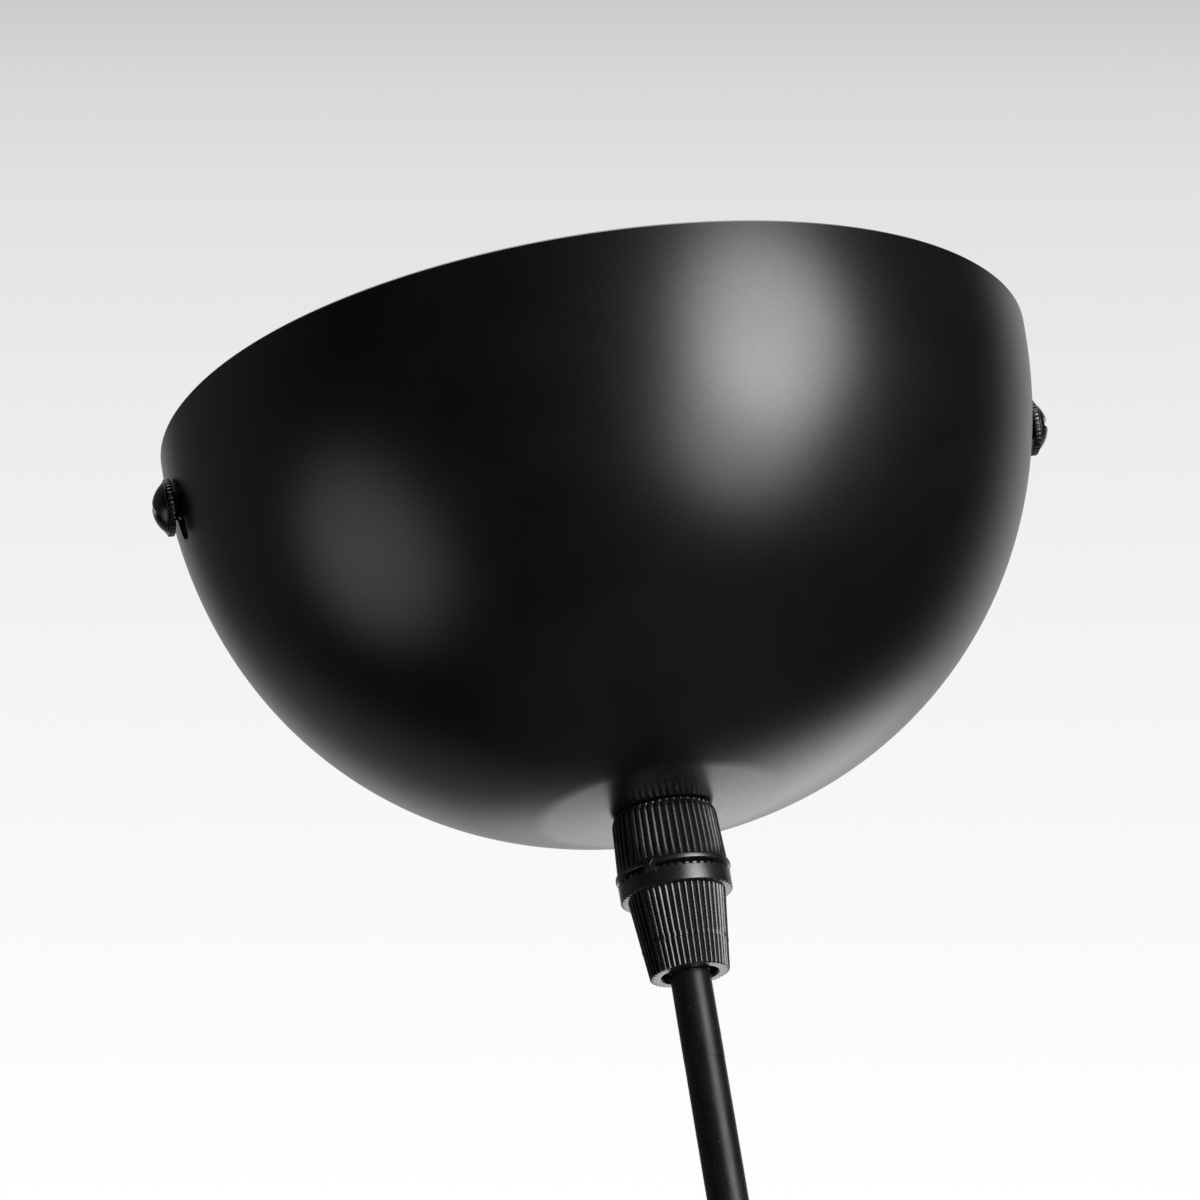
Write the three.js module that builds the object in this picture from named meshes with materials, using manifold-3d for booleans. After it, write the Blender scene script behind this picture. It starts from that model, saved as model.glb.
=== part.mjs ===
// Pendant ceiling light: bracket, cup, cord grip, cord and lampholder, as separate pieces.
// Millimetres. The ceiling is the plane z = 0, the light hangs towards -Z, and the two side screws
// that hold the cup lie along X.

import * as THREE from "three";
import { mergeVertices } from "three/addons/utils/BufferGeometryUtils.js";
import Module from "manifold-3d";

const wasm = await Module();
wasm.setup();

// ---------- Driving dimensions ----------

const CUP_RADIUS = 60;
const CUP_DEPTH = 61.4; // of the full curve, before its pole is pressed in
const CUP_FULLNESS = 2.11; // exponent of the cup's curve, where 2 is a sphere
const CUP_WALL = 1;
const CUP_TRAVEL = 2.5; // how far the cup slides up its side screws
const CEILING_GAP = 0.4; // between rim and ceiling with the cup pushed right up
const RIM_Z = -(CUP_TRAVEL + CEILING_GAP);
const DISC_RADIUS = 16.4; // of the shallow disc pressed into the bottom
const DISC_CURVE = 117; // its radius of curvature
const POLE_FLAT_RADIUS = 8;
const POLE_Z = RIM_Z - discDepth(POLE_FLAT_RADIUS); // outer face of the flat at the bottom of the cup
const STEM_HOLE_RADIUS = 5.2;

const SIDE_SCREW_Z = RIM_Z - 10;
const SIDE_SHANK_RADIUS = 1.9;
const SIDE_HEAD_RADIUS = 3.5;
const SIDE_HEAD_HEIGHT = 1.75;
const SIDE_HEAD_X = CUP_RADIUS + 0.95;
const SIDE_TIP_X = 50;
const SIDE_WASHER_X = CUP_RADIUS + 0.05;
const SIDE_WASHER_RADIUS = 4;
const SIDE_WASHER_THICKNESS = 0.8;
const SIDE_SLOT_RADIUS = 2.2;

const PLATE = 2; // thickness of the bracket
const BRACKET_WIDTH = 20;
const EAR_WIDTH = 14;
const EAR_X = 54.6; // outer face of each ear
const EAR_BOTTOM_Z = SIDE_SCREW_Z - 5.6;
const CEILING_SLOT = { x: 36, length: 16, width: 5 };

const WAY_PITCH = 10; // of the terminal block
const WAYS = 3;
const BLOCK = { length: 30, width: 17, height: 13.6, gap: 0.3 };
const TUBE_Z = -8.8;
const TUBE = { outer: 2.5, bore: 1.7, length: 16 };
const TERMINAL_SCREW_Y = 4.5;
const EARTH_X = 21.5;

const CORD_RADIUS = 2.75;
const CORE_RADIUS = 1.1; // of each insulated wire
const SHEATH_END_Z = -49.5; // where the cord's sheath is stripped, inside the cup

const GRIP_STEM_TOP = 7; // heights from the cup's flat, inside the cup
const GRIP_BODY_LENGTH = 9.15;
const GRIP_JOINT_GAP = 0.35;
const GRIP_COLLAR_HEIGHT = 2.6;
const GRIP_COLLAR_RADIUS = 7.6;
const GRIP_LENGTH = 23.15; // cup to the end face of the cap
const GRIP_EXIT_RADIUS = 3.7;
const GRIP_NECK_RADIUS = 5.6;
const GRIP_NECK_END = -17.25;
const LOCK_TAB_ANGLE = THREE.MathUtils.degToRad(-123.5); // about Z, from +X

const CORD_NECK_LENGTH = 12; // the stretch that bends first when the lamp swings
const CORD_DROP = 96; // grip to lampholder
const GRIP_EXIT_Z = POLE_Z - GRIP_LENGTH;
const HOLDER_TOP_Z = GRIP_EXIT_Z - CORD_DROP;

const HOLDER = {
  shoulder: -14.2, // heights below the point where the cord enters
  skirtBottom: -34,
  flangeTop: -34.3,
  flangeBottom: -37,
  coreTop: -29,
  coreBottom: -41,
  ringTop: -49,
  mouth: -65,
  skirtRadius: 19.6,
  barrelRadius: 19,
  boreRadius: 15.2,
  flangeRadius: 21.5,
};
const SHEATH_END_IN_HOLDER = -17;
const HOLDER_TERMINAL_X = 7;

// ---------- Materials ----------

const FINISH = {
  powderCoat: { color: 0x161618, roughness: 0.5, metalness: 0 },
  blackPlastic: { color: 0x18181a, roughness: 0.42, metalness: 0 },
  blackScrew: { color: 0x141416, roughness: 0.35, metalness: 0.6 },
  zincSteel: { color: 0xb4b7bb, roughness: 0.35, metalness: 1 },
  brass: { color: 0xc9a24c, roughness: 0.3, metalness: 1 },
  nylon: { color: 0xe4e2da, roughness: 0.5, metalness: 0 },
  porcelain: { color: 0xf0ece0, roughness: 0.25, metalness: 0 },
  cordSheath: { color: 0x121213, roughness: 0.45, metalness: 0 },
  brownCore: { color: 0x5a2f16, roughness: 0.45, metalness: 0 },
  blueCore: { color: 0x1d4f9c, roughness: 0.45, metalness: 0 },
  earthCore: { color: 0x4f9a2b, roughness: 0.45, metalness: 0 },
};

// ---------- Geometry helpers ----------

function solidFrom(geometry) {
  const bare = geometry.clone();
  bare.deleteAttribute("normal");
  bare.deleteAttribute("uv");
  const merged = mergeVertices(bare, 1e-4);
  const vertProperties = merged.attributes.position.array;
  const triVerts = new Uint32Array(merged.index.array);
  return new wasm.Manifold(new wasm.Mesh({ numProp: 3, vertProperties, triVerts }));
}

function geometryFrom(solid) {
  const mesh = solid.getMesh();
  const geometry = new THREE.BufferGeometry();
  geometry.setAttribute("position", new THREE.BufferAttribute(new Float32Array(mesh.vertProperties), 3));
  geometry.setIndex(new THREE.BufferAttribute(new Uint32Array(mesh.triVerts), 1));
  geometry.computeVertexNormals();
  return geometry;
}

function cut(base, ...tools) {
  return geometryFrom(tools.reduce((left, tool) => left.subtract(solidFrom(tool)), solidFrom(base)));
}

function join(first, ...others) {
  return geometryFrom(others.reduce((sum, other) => sum.add(solidFrom(other)), solidFrom(first)));
}

// A solid of revolution about Z from [radius, z] points, listed either way round. A profile that
// doesn't start and end on the axis is closed into a ring.
function lathe(profile, sides = 20) {
  const points = profile.map(([radius, z]) => new THREE.Vector2(radius, z));
  if (profile[0][0] > 0) points.push(points[0].clone());
  if (THREE.ShapeUtils.area(points) < 0) points.reverse();
  return new THREE.LatheGeometry(points, sides).rotateX(Math.PI / 2);
}

// A plain ring or washer about Z, from z = low to z = high.
function ring(outer, inner, low, high, sides = 16) {
  return lathe([[inner, low], [outer, low], [outer, high], [inner, high]], sides);
}

function rod(radius, low, high, sides = 16) {
  return lathe([[0, low], [radius, low], [radius, high], [0, high]], sides);
}

function block(sizeX, sizeY, sizeZ, x = 0, y = 0, z = 0) {
  return new THREE.BoxGeometry(sizeX, sizeY, sizeZ).translate(x, y, z);
}

// A round-ended slot cutter through the XY plane, with its long side along X.
function slotCutter(length, radius, depth) {
  const half = length / 2 - radius;
  const outline = new THREE.Shape();
  outline.absarc(half, 0, radius, -Math.PI / 2, Math.PI / 2);
  outline.absarc(-half, 0, radius, Math.PI / 2, (Math.PI * 3) / 2);
  const options = { depth, bevelEnabled: false, curveSegments: 4 };
  return new THREE.ExtrudeGeometry(outline, options).translate(0, 0, -depth / 2);
}

// A round wire or cord through the given points.
function tube(points, radius, { sides = 8, steps = 12 } = {}) {
  const path = new THREE.CatmullRomCurve3(points.map((p) => new THREE.Vector3(...p)));
  const section = new THREE.Shape();
  section.absarc(0, 0, radius, 0, Math.PI * 2);
  const options = { extrudePath: path, steps, bevelEnabled: false, curveSegments: sides / 2 };
  return new THREE.ExtrudeGeometry(section, options);
}

function add(parent, name, geometry, finish, place = [0, 0, 0]) {
  const mesh = new THREE.Mesh(geometry, new THREE.MeshStandardMaterial(FINISH[finish]));
  mesh.name = name;
  mesh.position.set(...place);
  parent.add(mesh);
  return mesh;
}

function groupAt(parent, x, y, z) {
  const group = new THREE.Group();
  group.position.set(x, y, z);
  parent.add(group);
  return group;
}

// ---------- Bracket and terminal block ----------

// A U of strip steel with bent corners: flat under the ceiling, an ear down at each end.
function bracketGeometry() {
  const bend = 3;
  const side = new THREE.Shape();
  side.moveTo(-EAR_X, EAR_BOTTOM_Z);
  side.lineTo(-EAR_X, -bend);
  side.absarc(-EAR_X + bend, -bend, bend, Math.PI, Math.PI / 2, true);
  side.absarc(EAR_X - bend, -bend, bend, Math.PI / 2, 0, true);
  side.lineTo(EAR_X, EAR_BOTTOM_Z);
  side.lineTo(EAR_X - PLATE, EAR_BOTTOM_Z);
  side.absarc(EAR_X - bend, -bend, bend - PLATE, 0, Math.PI / 2);
  side.absarc(-EAR_X + bend, -bend, bend - PLATE, Math.PI / 2, Math.PI);
  side.lineTo(-EAR_X + PLATE, EAR_BOTTOM_Z);
  side.closePath();
  const options = { depth: BRACKET_WIDTH, bevelEnabled: false, curveSegments: 2 };
  const strip = new THREE.ExtrudeGeometry(side, options);
  strip.rotateX(Math.PI / 2).translate(0, BRACKET_WIDTH / 2, 0);

  const cutters = [];
  const shoulderZ = -5;
  for (const end of [-1, 1]) {
    for (const edge of [-1, 1]) {
      const trimmed = (BRACKET_WIDTH - EAR_WIDTH) / 2;
      const edgeY = edge * (EAR_WIDTH / 2 + trimmed);
      cutters.push(block(10, trimmed * 2, 40, end * EAR_X, edgeY, shoulderZ - 20));
    }
    const slot = slotCutter(CEILING_SLOT.length, CEILING_SLOT.width / 2, 10);
    cutters.push(slot.translate(end * CEILING_SLOT.x, 0, 0));
    const thread = rod(SIDE_SHANK_RADIUS + 0.2, -8, 8).rotateY(Math.PI / 2);
    cutters.push(thread.translate(end * EAR_X, 0, SIDE_SCREW_Z));
    cutters.push(rod(1.5, -10, -0.8, 12).translate((end * WAY_PITCH) / 2, 0, 0));
  }
  cutters.push(rod(2.1, -10, -0.3, 12).translate(EARTH_X, 0, 0));
  return cut(strip, ...cutters);
}

// The insulating body: a bore for each brass tube, screw holes from below, two fixing holes.
function blockGeometry() {
  const top = -PLATE - BLOCK.gap;
  const middle = top - BLOCK.height / 2;
  const body = block(BLOCK.length, BLOCK.width, BLOCK.height, 0, 0, middle);
  const cutters = [];
  for (let way = 0; way < WAYS; way += 1) {
    const x = (way - 1) * WAY_PITCH;
    cutters.push(rod(TUBE.outer + 0.3, -20, 20, 12).rotateX(Math.PI / 2).translate(x, 0, TUBE_Z));
    for (const y of [-TERMINAL_SCREW_Y, TERMINAL_SCREW_Y]) {
      cutters.push(rod(1.7, -30, TUBE_Z, 10).translate(x, y, 0));
    }
  }
  for (const x of [-WAY_PITCH / 2, WAY_PITCH / 2]) {
    cutters.push(rod(1.6, -30, 0, 10).translate(x, 0, 0));
    cutters.push(block(1.2, BLOCK.width + 2, 4, x, 0, top - BLOCK.height));
  }
  return cut(body, ...cutters);
}

// A brass tube along Y with a threaded hole at each end for its two screws.
function terminalTubeGeometry() {
  const body = ring(TUBE.outer, TUBE.bore, -TUBE.length / 2, TUBE.length / 2, 12).rotateX(Math.PI / 2);
  const holes = [-TERMINAL_SCREW_Y, TERMINAL_SCREW_Y].map((y) => rod(1.5, -6, 0, 10).translate(0, y, 0));
  return cut(body, ...holes);
}

// A pointed-up machine screw with a slotted head at the bottom, its tip at z = 0.
function slottedScrewGeometry(radius, length, headRadius, headHeight, sides = 12) {
  const profile = [
    [0, 0],
    [radius, 0],
    [radius, -length],
    [headRadius, -length],
    [headRadius, -length - headHeight * 0.6],
    [headRadius * 0.75, -length - headHeight],
    [0, -length - headHeight],
  ];
  const slot = block(headRadius * 3, headRadius * 0.3, headHeight * 0.5);
  return cut(lathe(profile, sides), slot.translate(0, 0, -length - headHeight));
}

// A ring terminal in the XY plane, ring at the origin, with its crimp barrel towards -Y.
function lugGeometry(ringRadius, holeRadius, barrelStart, barrelDrop) {
  const thickness = 0.8;
  const flat = ring(ringRadius, holeRadius, -thickness, 0, 16);
  const tongueStart = (ringRadius + holeRadius) / 2;
  const tongueEnd = barrelStart + 1.2;
  const tongueLength = tongueEnd - tongueStart;
  const tongue = block(3, tongueLength, thickness, 0, -(tongueStart + tongueLength / 2), -thickness / 2);
  const barrel = ring(1.7, CORE_RADIUS + 0.2, 0, 6, 10).rotateX(Math.PI / 2);
  return join(flat, tongue, barrel.translate(0, -barrelStart, -barrelDrop));
}

function addBracket(parent) {
  add(parent, "ceiling_bracket", bracketGeometry(), "zincSteel");
  add(parent, "terminal_block", blockGeometry(), "nylon");
  for (let way = 0; way < WAYS; way += 1) {
    const x = (way - 1) * WAY_PITCH;
    add(parent, `terminal_tube_${way + 1}`, terminalTubeGeometry(), "brass", [x, 0, TUBE_Z]);
    [-TERMINAL_SCREW_Y, TERMINAL_SCREW_Y].forEach((y, side) => {
      const screw = slottedScrewGeometry(1.25, 4, 1.25, 1.2, 10);
      add(parent, `terminal_screw_${way * 2 + side + 1}`, screw, "zincSteel", [x, y, TUBE_Z - 0.9]);
    });
  }
  [-WAY_PITCH / 2, WAY_PITCH / 2].forEach((x, index) => {
    const screw = slottedScrewGeometry(1.3, 15, 2.3, 1.6);
    add(parent, `block_screw_${index + 1}`, screw, "zincSteel", [x, 0, -1.1]);
  });
  add(parent, "earth_jumper_lug", lugGeometry(4, 2.2, 6, 1.9), "zincSteel", [EARTH_X, 0, -PLATE - 0.1]);
  const cupLug = add(parent, "earth_cup_lug", lugGeometry(4, 2.2, 6, 1.9), "zincSteel", [EARTH_X, 0, -3]);
  cupLug.rotation.z = Math.PI;
  add(parent, "earth_washer", ring(3.6, 2.2, -4.6, -4, 12), "zincSteel", [EARTH_X, 0, 0]);
  add(parent, "earth_screw", slottedScrewGeometry(1.9, 4.3, 3.4, 2.2), "brass", [EARTH_X, 0, -0.5]);
  const jumper = tube(
    [
      [EARTH_X, -8, -4],
      [EARTH_X, -12.5, -4.2],
      [EARTH_X - 3, -17.5, -6],
      [WAY_PITCH + 3, -17.5, -8.2],
      [WAY_PITCH, -13, TUBE_Z],
      [WAY_PITCH, -6.6, TUBE_Z],
    ],
    CORE_RADIUS,
  );
  add(parent, "earth_jumper", jumper, "earthCore");
}

// ---------- Cup and side screws ----------

// Depth below the rim of the cup's outer face, within the disc in its bottom.
function discDepth(radius) {
  const edge = CUP_DEPTH * (1 - (DISC_RADIUS / CUP_RADIUS) ** CUP_FULLNESS) ** (1 / CUP_FULLNESS);
  return edge + (DISC_RADIUS ** 2 - radius ** 2) / (2 * DISC_CURVE);
}

// Points down one face of the cup, from the rim to the flat at its pole. inset is 0 outside.
function cupFace(inset, count) {
  const radius = CUP_RADIUS - inset;
  const depth = CUP_DEPTH - inset;
  const lastAngle = Math.acos((DISC_RADIUS / radius) ** (CUP_FULLNESS / 2));
  const side = Array.from({ length: count + 1 }, (_, step) => {
    const angle = (lastAngle * step) / count;
    const out = radius * Math.cos(angle) ** (2 / CUP_FULLNESS);
    return [out, RIM_Z - depth * Math.sin(angle) ** (2 / CUP_FULLNESS)];
  });
  const disc = [DISC_RADIUS * 0.75, POLE_FLAT_RADIUS].map((r) => [r, RIM_Z - discDepth(r) + inset]);
  return [...side, ...disc];
}

function cupGeometry() {
  const rows = 8;
  const outside = cupFace(0, rows);
  const inside = cupFace(CUP_WALL, rows).reverse();
  const hole = [[STEM_HOLE_RADIUS, POLE_Z], [STEM_HOLE_RADIUS, POLE_Z + CUP_WALL]];
  const shell = lathe([...outside, ...hole, ...inside], 40);
  const slots = [-1, 1].map((end) => {
    const length = CUP_TRAVEL + SIDE_SLOT_RADIUS * 2 + 0.3;
    const middle = SIDE_SCREW_Z + SIDE_SLOT_RADIUS - 0.15 - length / 2;
    const cutter = slotCutter(length, SIDE_SLOT_RADIUS, 16).rotateY(Math.PI / 2);
    return cutter.translate(end * CUP_RADIUS, 0, middle);
  });
  return cut(shell, ...slots);
}

// A domed, slotted screw along X, with its head outwards at +X.
function sideScrewGeometry() {
  const base = SIDE_HEAD_X;
  const profile = [
    [0, SIDE_TIP_X],
    [SIDE_SHANK_RADIUS - 0.5, SIDE_TIP_X],
    [SIDE_SHANK_RADIUS, SIDE_TIP_X + 0.5],
    [SIDE_SHANK_RADIUS, base],
    [SIDE_HEAD_RADIUS, base],
    [SIDE_HEAD_RADIUS, base + SIDE_HEAD_HEIGHT * 0.35],
    [SIDE_HEAD_RADIUS * 0.86, base + SIDE_HEAD_HEIGHT * 0.7],
    [SIDE_HEAD_RADIUS * 0.5, base + SIDE_HEAD_HEIGHT * 0.95],
    [0, base + SIDE_HEAD_HEIGHT],
  ];
  const slot = block(SIDE_HEAD_RADIUS * 3, 1.1, 2, 0, 0, base + SIDE_HEAD_HEIGHT + 0.05);
  const screw = cut(lathe(profile, 16), slot.rotateZ(Math.PI / 2));
  return screw.rotateX(Math.PI / 2).rotateZ(Math.PI / 2);
}

function addSideScrews(parent) {
  for (const [side, turn] of [["left", Math.PI], ["right", 0]]) {
    const group = groupAt(parent, 0, 0, SIDE_SCREW_Z);
    group.rotation.z = turn;
    const bore = SIDE_SHANK_RADIUS + 0.3;
    const washer = ring(SIDE_WASHER_RADIUS, bore, 0, SIDE_WASHER_THICKNESS, 20).rotateY(Math.PI / 2);
    add(group, `side_washer_${side}`, washer, "blackScrew", [SIDE_WASHER_X, 0, 0]);
    add(group, `side_screw_${side}`, sideScrewGeometry(), "blackScrew");
  }
}

// ---------- Cord grip ----------

// The threaded neck that the grip's cap screws onto, with its pocket for the collet.
const NECK_OUTSIDE = [[GRIP_NECK_RADIUS, -GRIP_BODY_LENGTH], [GRIP_NECK_RADIUS, GRIP_NECK_END]];
const NECK_INSIDE = [
  [4.4, GRIP_NECK_END],
  [4.4, -GRIP_BODY_LENGTH - 1.1],
  [CORD_RADIUS + 0.3, -GRIP_BODY_LENGTH - 0.2],
];

function gripBodyGeometry() {
  const profile = [
    [4.9, GRIP_STEM_TOP],
    [4.9, -0.1],
    [6.6, -0.1],
    [7.1, -1],
    [7.5, 0.8 - GRIP_BODY_LENGTH],
    [7.75, 0.7 - GRIP_BODY_LENGTH],
    [7.75, -GRIP_BODY_LENGTH],
    ...NECK_OUTSIDE,
    ...NECK_INSIDE,
    [CORD_RADIUS + 0.3, GRIP_STEM_TOP],
  ];
  const tabWidth = 1.6;
  const tab = block(0.4, tabWidth, 2, 7.95, 0, -GRIP_BODY_LENGTH - 0.2);
  const root = block(0.9, tabWidth, 0.7, 7.7, 0, 0.35 - GRIP_BODY_LENGTH);
  const lockTab = join(tab, root).rotateZ(LOCK_TAB_ANGLE);
  return join(lathe(profile), lockTab);
}

function gripCapGeometry() {
  const top = -GRIP_BODY_LENGTH - GRIP_JOINT_GAP;
  const collarBottom = top - GRIP_COLLAR_HEIGHT;
  return lathe([
    [GRIP_NECK_RADIUS + 0.3, top],
    [GRIP_COLLAR_RADIUS, top],
    [GRIP_COLLAR_RADIUS, collarBottom],
    [6.6, collarBottom],
    [5.3, -GRIP_LENGTH],
    [GRIP_EXIT_RADIUS, -GRIP_LENGTH],
    [GRIP_EXIT_RADIUS, 1.4 - GRIP_LENGTH],
    [5, 3.6 - GRIP_LENGTH],
    [GRIP_NECK_RADIUS + 0.3, 3.9 - GRIP_LENGTH],
  ]);
}

// The split sleeve that the cap squeezes onto the cord.
function gripColletGeometry() {
  const sleeve = lathe(
    [
      [CORD_RADIUS + 0.2, GRIP_NECK_END + 6.3],
      [4.1, GRIP_NECK_END + 6.3],
      [4.1, GRIP_NECK_END - 0.3],
      [5.1, GRIP_NECK_END - 0.3],
      [5.1, GRIP_NECK_END - 1.5],
      [3.4, GRIP_NECK_END - 4.1],
      [3.4, GRIP_NECK_END - 4.9],
      [CORD_RADIUS + 0.2, GRIP_NECK_END - 4.9],
    ],
    14,
  );
  return cut(sleeve, block(4, 0.6, 20, 4, 0, GRIP_NECK_END));
}

function addGrip(parent) {
  const grip = groupAt(parent, 0, 0, POLE_Z);
  add(grip, "grip_body", gripBodyGeometry(), "blackPlastic");
  add(grip, "grip_cap", gripCapGeometry(), "blackPlastic");
  add(grip, "grip_collet", gripColletGeometry(), "blackPlastic");
  add(grip, "canopy_earth_lug", cupLugGeometry(), "zincSteel");
  add(grip, "lock_washer", ring(7.2, STEM_HOLE_RADIUS, 2.2, 2.8, 16), "zincSteel");
  add(grip, "lock_nut", lockNutGeometry(), "zincSteel");
}

function lockNutGeometry() {
  const acrossFlats = 14;
  const hexagon = rod(acrossFlats / Math.sqrt(3), 2.9, 5.9, 6).rotateZ(Math.PI / 6);
  return cut(hexagon, rod(STEM_HOLE_RADIUS, 0, 10));
}

// A large ring terminal under the nut, its barrel turned up beside the stem.
function cupLugGeometry() {
  const low = CUP_WALL + 0.2;
  const flat = ring(7.4, STEM_HOLE_RADIUS, low, low + 0.8, 20);
  const tongue = block(2.6, 3, 0.8, 7.7, 0, low + 0.4);
  const riser = block(0.7, 3, 4.5, 8.65, 0, low + 2.25);
  const barrel = ring(1.7, CORE_RADIUS + 0.2, low + 1.1, low + 8, 10).translate(10.3, 0, 0);
  return join(flat, tongue, riser, barrel);
}

// ---------- Cords and wires ----------

function addWires(parent) {
  const tail = [[0, 0, GRIP_EXIT_Z + 0.4], [0, 0, POLE_Z], [0, 0, SHEATH_END_Z]];
  add(parent, "cord_tail", tube(tail, CORD_RADIUS, { sides: 12, steps: 3 }), "cordSheath");
  const live = [
    [-1.3, 0, SHEATH_END_Z + 0.3],
    [-1.7, -0.6, -43.5],
    [-5, -5, -34.5],
    [-9.5, -12, -25],
    [-11, -17, -15],
    [-10.3, -15.5, -10],
    [-WAY_PITCH, -11.5, TUBE_Z],
    [-WAY_PITCH, -6.6, TUBE_Z],
  ];
  const neutral = [
    [1.3, 0, SHEATH_END_Z + 0.3],
    [1.7, -0.6, -43.5],
    [3, -7, -34.5],
    [2, -14, -25],
    [0.5, -17.5, -15],
    [0, -15.5, -10],
    [0, -11.5, TUBE_Z],
    [0, -6.6, TUBE_Z],
  ];
  const earth = [
    [EARTH_X, 8, -4.9],
    [EARTH_X, 13, -5.4],
    [20, 18, -12],
    [17, 17, -28],
    [12.5, 9, -40],
    [10.4, 1, -49.5],
    [10.3, 0, POLE_Z + 8.5],
    [10.3, 0, POLE_Z + 5],
  ];
  add(parent, "wire_live", tube(live, CORE_RADIUS), "brownCore");
  add(parent, "wire_neutral", tube(neutral, CORE_RADIUS), "blueCore");
  add(parent, "canopy_earth_wire", tube(earth, CORE_RADIUS, { steps: 17 }), "earthCore");
}

function addCord(parent) {
  const neckTop = GRIP_EXIT_Z + 0.1;
  const neckEnd = GRIP_EXIT_Z - CORD_NECK_LENGTH;
  const neck = [[0, 0, neckTop], [0, 0, (neckTop + neckEnd) / 2], [0, 0, neckEnd]];
  add(parent, "cord_neck", tube(neck, CORD_RADIUS, { sides: 12, steps: 2 }), "cordSheath");
  const top = neckEnd - 0.3;
  const bottom = HOLDER_TOP_Z + SHEATH_END_IN_HOLDER;
  const run = [[0, 0, top], [0, 0, (top + bottom) / 2], [0, 0, bottom]];
  add(parent, "cord", tube(run, CORD_RADIUS, { sides: 12, steps: 8 }), "cordSheath");
}

// ---------- Lampholder ----------

function holderCapGeometry() {
  const { shoulder, skirtBottom, skirtRadius } = HOLDER;
  const neckTop = -GRIP_LENGTH - GRIP_NECK_END;
  const flip = ([radius, z]) => [radius, -GRIP_LENGTH - z];
  const outside = [
    [GRIP_NECK_RADIUS, neckTop],
    [GRIP_NECK_RADIUS, shoulder],
    [8.5, shoulder],
    [13.5, shoulder - 2.4],
    [17.4, shoulder - 6.4],
    [skirtRadius, shoulder - 12],
    [skirtRadius, skirtBottom],
  ];
  const inside = [
    [17.7, skirtBottom],
    [17.7, shoulder - 12.5],
    [15.8, shoulder - 7.6],
    [12.2, shoulder - 4.2],
    [8, shoulder - 2.2],
    [CORD_RADIUS + 0.3, shoulder - 2],
  ];
  return lathe([...outside, ...inside, ...NECK_INSIDE.map(flip).reverse()]);
}

function holderBarrelGeometry() {
  const { skirtBottom, flangeTop, flangeBottom, mouth, flangeRadius, barrelRadius, boreRadius } = HOLDER;
  return lathe([
    [boreRadius, mouth],
    [barrelRadius, mouth],
    [barrelRadius, flangeBottom],
    [flangeRadius, flangeBottom],
    [flangeRadius, flangeTop],
    [17.4, flangeTop],
    [17.4, skirtBottom + 5],
    [boreRadius, skirtBottom + 5],
  ]);
}

function shadeRingGeometry() {
  const { ringTop, barrelRadius } = HOLDER;
  const bore = barrelRadius + 0.3;
  return lathe([
    [bore, ringTop],
    [22.5, ringTop],
    [22.5, ringTop - 1.8],
    [21.2, ringTop - 1.8],
    [21.2, ringTop - 7],
    [bore, ringTop - 7],
  ]);
}

// The insulating insert: a disc with a pocket over each terminal and a hole for the contact.
function holderCoreGeometry() {
  const { coreTop, coreBottom } = HOLDER;
  const disc = rod(14.8, coreBottom, coreTop, 20);
  const cutters = [-1, 1].flatMap((side) => [
    rod(3.2, coreTop - 2, coreTop + 1, 12).translate(side * HOLDER_TERMINAL_X, 0, 0),
    rod(1.7, coreTop - 8, coreTop, 10).translate(side * HOLDER_TERMINAL_X, 0, 0),
  ]);
  return cut(disc, ...cutters);
}

function screwShellGeometry() {
  const { coreBottom } = HOLDER;
  const top = coreBottom - 0.2;
  return lathe([
    [5.5, top],
    [14.3, top],
    [14.3, top - 21.5],
    [13.6, top - 21.5],
    [13.6, top - 0.7],
    [5.5, top - 0.7],
  ]);
}

// A sprung brass tongue: flat under the core, folded down to touch the lamp.
function centreContactGeometry() {
  const low = HOLDER.coreBottom - 0.2;
  const side = new THREE.Shape();
  side.moveTo(-4.5, low);
  side.lineTo(4, low);
  side.lineTo(4, low - 0.6);
  side.lineTo(-3.4, low - 0.6);
  side.lineTo(4.2, low - 4.6);
  side.lineTo(3.8, low - 5.2);
  side.lineTo(-4.5, low - 0.8);
  side.closePath();
  const width = 5;
  const tongue = new THREE.ExtrudeGeometry(side, { depth: width, bevelEnabled: false });
  return tongue.rotateX(Math.PI / 2).translate(0, width / 2, 0);
}

function addHolder(parent) {
  const holder = groupAt(parent, 0, 0, HOLDER_TOP_Z);
  const grip = groupAt(holder, 0, 0, -GRIP_LENGTH);
  grip.rotation.x = Math.PI;
  add(grip, "holder_grip_cap", gripCapGeometry(), "blackPlastic");
  add(grip, "holder_collet", gripColletGeometry(), "blackPlastic");
  add(holder, "holder_cap", holderCapGeometry(), "blackPlastic");
  add(holder, "holder_barrel", holderBarrelGeometry(), "blackPlastic");
  add(holder, "shade_ring", shadeRingGeometry(), "blackPlastic");
  add(holder, "holder_core", holderCoreGeometry(), "porcelain");
  add(holder, "screw_shell", screwShellGeometry(), "brass");
  add(holder, "centre_contact", centreContactGeometry(), "brass");
  [-1, 1].forEach((side, index) => {
    const x = side * HOLDER_TERMINAL_X;
    const screw = slottedScrewGeometry(1.3, 5, 2.6, 1.5).rotateX(Math.PI);
    add(holder, `holder_terminal_${index + 1}`, screw, "brass", [x, 0, HOLDER.coreTop - 6.6]);
    const wire = tube(
      [
        [side * 1.3, 0, SHEATH_END_IN_HOLDER - 0.3],
        [side * 2, 0, SHEATH_END_IN_HOLDER - 3],
        [side * 6, 0, SHEATH_END_IN_HOLDER - 7],
        [x, 0, HOLDER.coreTop + 0.4],
      ],
      CORE_RADIUS,
      { steps: 8 },
    );
    add(holder, `holder_wire_${index + 1}`, wire, side < 0 ? "brownCore" : "blueCore");
  });
}

// ---------- The whole light ----------

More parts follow.
